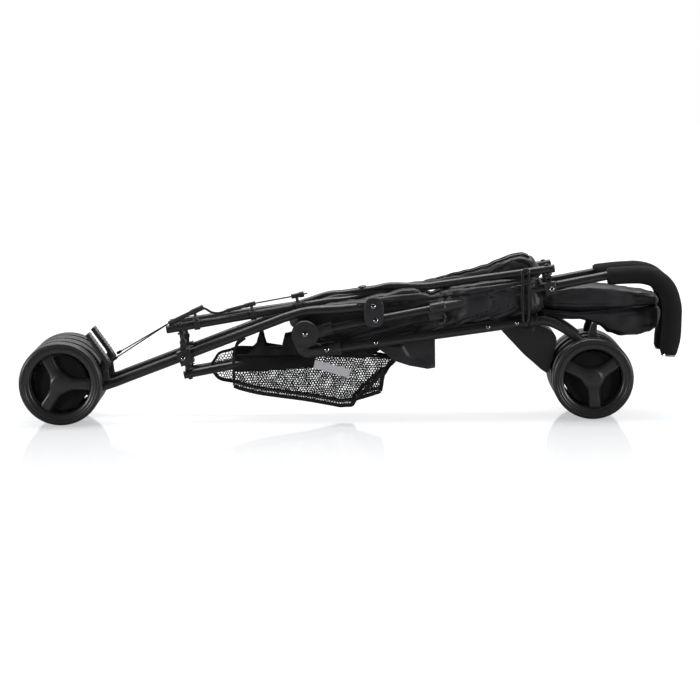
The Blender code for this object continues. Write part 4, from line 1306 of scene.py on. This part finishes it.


# Basket: knitted net in a black cloth binding, hung from the lower cross tubes.
# Strips and straps of the binding cloth run along its top, and a blank woven tag is sewn to its near side.
# A dark sheet of the same cloth, from the basket's top up under each front leg, is painted shade.
net_yarn = woven_finish(
    "Net yarn", (0.006, 0.006, 0.0066), (0.010, 0.010, 0.011), 0.6, 9000.0, 0.03, 0.15
)
binding_tape = woven_finish(
    "Basket binding", (0.005, 0.005, 0.0056), (0.009, 0.009, 0.0098), 0.6, 7000.0, 0.05, 0.15
)
tag_satin = woven_finish(
    "Grey satin tag", (0.46, 0.46, 0.49), (0.56, 0.56, 0.59), 0.45, 9000.0, 0.02, 0.1
)
NET_CELL = 4.5
NET_SEED = 1795679168
NET_YARN_HALF = 0.92
BASKET_START = {-1: -201.0, 1: -243.0}
BASKET_BOTTOM = [
    (-243, 85), (-236, 74), (-226, 64), (-201, 58), (-187, 53), (-157, 45.5), (-121, 40),
    (-77, 33.5), (-45, 27.5), (-18, 22),
    (2, 23), (9, 33), (30, 39), (52, 45), (57, 72), (66, 86), (77, 97),
]
BASKET_TOP = {
    -1: [(-201, 109), (-150, 112), (-90, 113), (-30, 111), (10, 108), (52, 105), (77, 100)],
    1: [
        (-243, 89), (-227, 110), (-194, 119), (-150, 118), (-90, 116), (-30, 112), (10, 108),
        (52, 105), (77, 100),
    ],
}


def basket_half(x, share):
    """Half the basket's width: it bulges at the bottom and narrows at both ends."""
    ends = min(1.0, max(0.0, (x + 247) / 70.0), max(0.0, (66 - x) / 40.0))
    return (
        24.0 + 9.5 * math.sin(math.pi * min(1.0, share * 0.8 + 0.25))
    ) * (0.45 + 0.55 * math.sqrt(ends))


def panel_point(x, share, sign):
    low, high = line_height(BASKET_BOTTOM, x), line_height(BASKET_TOP[sign], x)
    z = low + (high - low) * share
    billow = 1.2 * noise.noise(Vector((x * 0.03, share * 3.0, sign * 2.0)))
    return Vector((x, sign * (basket_half(x, share) + billow), z))


def net_of_cells(to_point, inside, cell, x_range, height_range):
    """A flat net of six-sided cells, laid on a surface. Each cell keeps only its yarn."""
    bm = bmesh.new()
    found = {}
    radius = cell / math.sqrt(3)
    row_step = radius * 1.5
    rows = int((height_range[1] - height_range[0]) / row_step) + 1
    columns = int((x_range[1] - x_range[0]) / cell) + 1

    def corner(x, h):
        key = (round(x * 50), round(h * 50))
        if key not in found:
            drift = noise.noise_vector(Vector((x * 0.06, h * 0.06, cell * 9.0))) * 3.0
            pull = noise.noise_vector(Vector((x * 0.9, h * 0.9, cell))) * 0.7
            found[key] = bm.verts.new(to_point(x + drift.x + pull.x, h + drift.y + pull.y))
        return found[key]

    for row in range(rows):
        for column in range(columns):
            x = x_range[0] + (column + 0.5 * (row % 2)) * cell
            h = height_range[0] + row * row_step
            if not inside(x, h):
                continue
            spots = []
            for k in range(6):
                turn = math.pi / 6 + k * math.pi / 3
                spots.append(corner(x + radius * math.cos(turn), h + radius * math.sin(turn)))
            if len(set(spots)) == 6:
                bm.faces.new(spots)
    bm.normal_update()
    made = bmesh.ops.inset_individual(bm, faces=list(bm.faces), thickness=NET_YARN_HALF)
    ring_faces = set(made["faces"])
    holes = [f for f in bm.faces if f not in ring_faces]
    bmesh.ops.delete(bm, geom=holes, context="FACES")
    return mesh_of(bm)


def side_point(sign):
    def to_point(x, h):
        low, high = line_height(BASKET_BOTTOM, x), line_height(BASKET_TOP[sign], x)
        return panel_point(x, (h - low) / (high - low), sign)

    return to_point


def inside_side(sign):
    def inside(x, h):
        low, high = line_height(BASKET_BOTTOM, x), line_height(BASKET_TOP[sign], x)
        return BASKET_START[sign] + 1 < x < 75 and low + 1.0 < h < high - 1.0

    return inside


def bottom_point(x, across):
    half = basket_half(x, 0.0)
    lift = 3.0 * noise.noise(Vector((x * 0.02, across * 0.04, 5.0)))
    share = max(-1.0, min(1.0, across / 30.0))
    return Vector(
        (
            x, half * share,
            line_height(BASKET_BOTTOM, x) + 2.0 * (1 - share * share) + lift * (1 - share * share),
        )
    )


# Noise vectors start from the clock unless they are seeded. The fixed seed gives the same net every run.
noise.seed_set(NET_SEED)
nets = []
for sign in (-1, 1):
    nets.append(
        net_of_cells(
            side_point(sign), inside_side(sign), NET_CELL * (1.0 + 0.04 * sign), (-243, 76), (21, 126)
        )
    )
nets.append(net_of_cells(bottom_point, lambda x, h: -200 < x < 52, NET_CELL, (-202, 52), (-28, 28)))
net = finished("basket_net", joined(*nets), net_yarn, None, "basket", sharp=80.0, slot="mesh")
bands_straps_and_shade_sheets = []
for sign in (-1, 1):
    loops = []
    for step in range(31):
        x = -200 + 140 * step / 30
        low = 0.50 + 0.22 * step / 30
        loops.append(
            [
                panel_point(x, low + (1 - low) * k / 8, sign) + Vector((0, -sign * 0.9, 0))
                for k in range(9)
            ]
        )
    bands_straps_and_shade_sheets.append(lofted(loops, closed=False))
STRAP_TOP = [
    (-198, 112), (-176, 114), (-163, 126), (-157, 147), (-150, 147), (-146, 126), (-118, 121),
    (-114, 142), (-92, 147),
]
STRAP_BOTTOM = [(-198, 111), (-92, 111)]
for sign in (-1, 1):
    loops = []
    for step in range(41):
        x = -198 + 106 * step / 40
        low, high = line_height(STRAP_BOTTOM, x), line_height(STRAP_TOP, x)
        loops.append(
            [
                Vector((x, sign * (30.5 + 0.8 * math.sin(x * 0.2)), low + (high - low) * k / 6))
                for k in range(7)
            ]
        )
    bands_straps_and_shade_sheets.append(lofted(loops, closed=False))
# Painted shade: a dark sheet of binding cloth from the basket's top up to the underside of the front leg.
for sign in (-1, 1):
    loops = []
    for step in range(31):
        x = -34 + 96 * step / 30
        high = 117.5 + 0.128 * x
        low = line_height(BASKET_TOP[sign], x) - 4.0
        low += (high - 3.0 - low) * eased((x - 20.0) / 42.0)
        loops.append(
            [
                Vector((x, sign * (30.0 + 0.8 * math.sin(x * 0.15)), low + (high - low) * k / 5))
                for k in range(6)
            ]
        )
    bands_straps_and_shade_sheets.append(lofted(loops, closed=False))
# The side bands, the straps and the painted-shade sheets make one piece of binding cloth.
band = finished(
    "basket_bands_and_shade_sheets", joined(*bands_straps_and_shade_sheets), binding_tape, None, "basket", sharp=80.0, slot="mesh"
)


TAPE_HALF_THICK = 1.2
TAPE_SIDES = 12


def tape(points, width):
    """A folded binding: a flat oval tape along points."""
    path = threaded(points, 4)
    loops = []
    for i, point in enumerate(path):
        tangent = (path[min(i + 1, len(path) - 1)] - path[max(i - 1, 0)]).normalized()
        out = Vector((0, 1, 0))
        up = out.cross(tangent).normalized()
        loop = []
        for k in range(TAPE_SIDES):
            turn = 2 * math.pi * k / TAPE_SIDES
            loop.append(point + out * math.cos(turn) * TAPE_HALF_THICK + up * math.sin(turn) * width / 2)
        loops.append(loop)
    return lofted(loops)


tapes = []
for sign in (-1, 1):
    start = BASKET_START[sign]
    lower_edge = [
        x
        for x in (
            -243, -236, -226, -201, -187, -157, -121, -100, -77, -45, -28, -18, -8, 2, 6, 9, 18, 30,
            42, 52,
        ) if x >= start
    ]
    tapes.append(tape([panel_point(x, 0.0, sign) for x in lower_edge], 6.6))
    right_edge = (52, 54, 57, 61, 66, 72, 77)
    tapes.append(tape([panel_point(x, 0.0, sign) for x in right_edge], 6.0))
    upper_edge = [
        x
        for x in (
            -243, -235, -227, -210, -194, -175, -150, -120, -90, -60, -30, -10, 10, 30, 52, 77
        ) if x >= start
    ]
    tapes.append(tape([panel_point(x, 1.0, sign) for x in upper_edge], 5.0))
    tapes.append(tape([panel_point(start + 0.5, s, sign) for s in (0.98, 0.7, 0.4, 0.1)], 5.4))
across = [Vector((-201, y, 59 + 3 * math.cos(y * 0.04))) for y in (-34, -17, 0, 17, 34)]
tapes.append(tape([Vector((-10, y, 21.5)) for y in (-32, -16, 0, 16, 32)], 4.0))
tapes.append(tape(across, 4.0))
corner_seam = [(9, 33), (28, 52), (52, 74), (57, 80)]
for sign in (-1, 1):
    tapes.append(tape([at(p, sign * (basket_half(p[0], 0.3) + 1.5)) for p in corner_seam], 6.6))
    hanger = [(-201, 98), (-200, 116), (-194, 130), (-180, 141)]
    tapes.append(tape([at(p, sign * 27.0) for p in hanger], 4.6))
bindings = finished(
    "basket_bindings", joined(*tapes), binding_tape, None, "basket", sharp=60.0, slot="mesh"
)
tag_points = [(-60, 103), (-63, 89), (-3, 71), (2, 85)]
loops = []
for step in range(13):
    share = step / 12
    top = Vector(tag_points[0]).lerp(Vector(tag_points[3]), share)
    low = Vector(tag_points[1]).lerp(Vector(tag_points[2]), share)
    bulge = 0.7 * math.sin(share * math.pi * 2)
    loops.append([at(top.lerp(low, k / 5), -36.6 + bulge * k / 5) for k in range(6)])
tag = finished(
    "basket_tag", lofted(loops, closed=False), tag_satin, None, "basket", sharp=60.0, slot="mesh"
)
for part in (net, band, bindings, tag):
    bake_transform(part)


# Studio: a white sweep with a polished floor. A soft lamp stands at either end, and a broad one hangs above.
# The wall behind is white and the room on the camera's side is dim.
scene = bpy.context.scene
floor_mesh = bpy.data.meshes.new("studio_floor")
floor_bm = bmesh.new()
bmesh.ops.create_grid(floor_bm, x_segments=1, y_segments=1, size=12.0)
floor_bm.to_mesh(floor_mesh)
floor_bm.free()
floor = bpy.data.objects.new("studio_floor", floor_mesh)
scene.collection.objects.link(floor)
floor_paint = bpy.data.materials.new("Studio floor")
floor_paint.use_nodes = True
tree = floor_paint.node_tree
plain = tree.nodes["Principled BSDF"]
plain.inputs["Base Color"].default_value = (0.30, 0.30, 0.305, 1.0)
plain.inputs["Roughness"].default_value = 0.9
plain.inputs["Specular IOR Level"].default_value = 0.0
dull = add_node(tree, "BsdfDiffuse", {"Color": (0.36, 0.36, 0.365, 1.0)})
spot = add_node(tree, "NewGeometry")
far_off = add_node(tree, "VectorMath", operation="LENGTH")
glow = add_node(tree, "MapRange", {"From Min": 0.7, "From Max": 2.4, "To Min": 0.74, "To Max": 1.35})
towards = add_node(tree, "SeparateXYZ")
fading = add_node(
    tree, "MapRange", {"From Min": -0.75, "From Max": -0.06, "To Min": 0.04, "To Max": 0.33}
)
white = add_node(tree, "Emission", {"Color": (0.955, 0.975, 1.0, 1.0)})
lit = add_node(tree, "AddShader")
mirror = add_node(tree, "BsdfGlossy", {"Roughness": 0.07, "Color": (1.0, 1.0, 1.0, 1.0)})
polished = add_node(tree, "MixShader")
seen = add_node(tree, "LightPath")
choose = add_node(tree, "MixShader")
wire(
    tree,
    (spot, "Position", far_off, 0),
    (far_off, "Value", glow, "Value"),
    (spot, "Position", towards, "Vector"),
    (towards, "Y", fading, "Value"),
    (glow, "Result", white, "Strength"),
    (white, 0, lit, 0),
    (plain, 0, lit, 1),
    (fading, "Result", polished, "Fac"),
    (lit, 0, polished, 1),
    (mirror, 0, polished, 2),
    (seen, "Is Camera Ray", choose, "Fac"),
    (dull, 0, choose, 1),
    (polished, 0, choose, 2),
    (choose, 0, tree.nodes["Material Output"], "Surface"),
)
floor_mesh.materials.append(floor_paint)

world = bpy.data.worlds.new("Studio")
scene.world = world
world.use_nodes = True
tree = world.node_tree
room = tree.nodes["Background"]
room.inputs["Color"].default_value = (1.0, 1.0, 1.0, 1.0)
facing = add_node(tree, "TexCoord")
split = add_node(tree, "SeparateXYZ")
wall_range = {"From Min": -0.1, "From Max": 0.7, "To Min": 0.05, "To Max": 1.0}
wall = add_node(tree, "MapRange", wall_range, interpolation_type="SMOOTHSTEP")
backdrop = add_node(tree, "Background", {"Color": (1.0, 1.0, 1.0, 1.0), "Strength": 1.0})
seen = add_node(tree, "LightPath")
choose = add_node(tree, "MixShader")
wire(
    tree,
    (facing, "Generated", split, "Vector"),
    (split, "Y", wall, "Value"),
    (wall, "Result", room, "Strength"),
    (seen, "Is Camera Ray", choose, "Fac"),
    (room, 0, choose, 1),
    (backdrop, 0, choose, 2),
    (choose, 0, tree.nodes["World Output"], "Surface"),
)

for name, place, aim, width, height, power in (
    ("key_left", (-2.7, -1.35, 0.85), (0.0, 0.0, 0.15), 0.35, 0.5, 46.0),
    ("key_right", (2.7, -1.35, 0.85), (0.0, 0.0, 0.15), 0.35, 0.5, 46.0),
    ("overhead", (0.0, 0.35, 1.9), (0.0, 0.0, 0.1), 2.4, 0.7, 52.0),
):
    lamp = bpy.data.lights.new(name, "AREA")
    lamp.shape = "RECTANGLE"
    lamp.size = width
    lamp.size_y = height
    lamp.energy = power
    holder = bpy.data.objects.new(name, lamp)
    holder.location = place
    holder.rotation_euler = (Vector(aim) - Vector(place)).to_track_quat("-Z", "Y").to_euler()
    scene.collection.objects.link(holder)

# Camera: a long lens a little above the stroller, looking across it at its right side.
FOCAL_PIXELS = 2530.0
PICTURE_PIXELS = 700.0
SENSOR_WIDTH = 36.0
LOOKS_AT = (0, 0, 0.11458)
DISTANCE = 4.386
elevation = math.radians(7.296)
lean = math.radians(-0.7147)
turn = math.radians(-0.2234)
forward = Vector(
    (math.sin(turn) * math.cos(elevation), math.cos(turn) * math.cos(elevation), -math.sin(elevation))
)
level_right = Vector((math.cos(turn), -math.sin(turn), 0.0))
level_up = level_right.cross(forward)
right = level_right * math.cos(lean) + level_up * math.sin(lean)
up = level_up * math.cos(lean) - level_right * math.sin(lean)
camera_data = bpy.data.cameras.new("camera")
camera_data.sensor_width = SENSOR_WIDTH
camera_data.lens = FOCAL_PIXELS / PICTURE_PIXELS * SENSOR_WIDTH
camera_data.clip_end = 50.0
camera = bpy.data.objects.new("camera", camera_data)
camera.matrix_world = Matrix.Translation(Vector(LOOKS_AT) - forward * DISTANCE) @ Matrix(
    (right, up, -forward)
).transposed().to_4x4()
scene.collection.objects.link(camera)
scene.camera = camera
scene.view_settings.view_transform = "Standard"
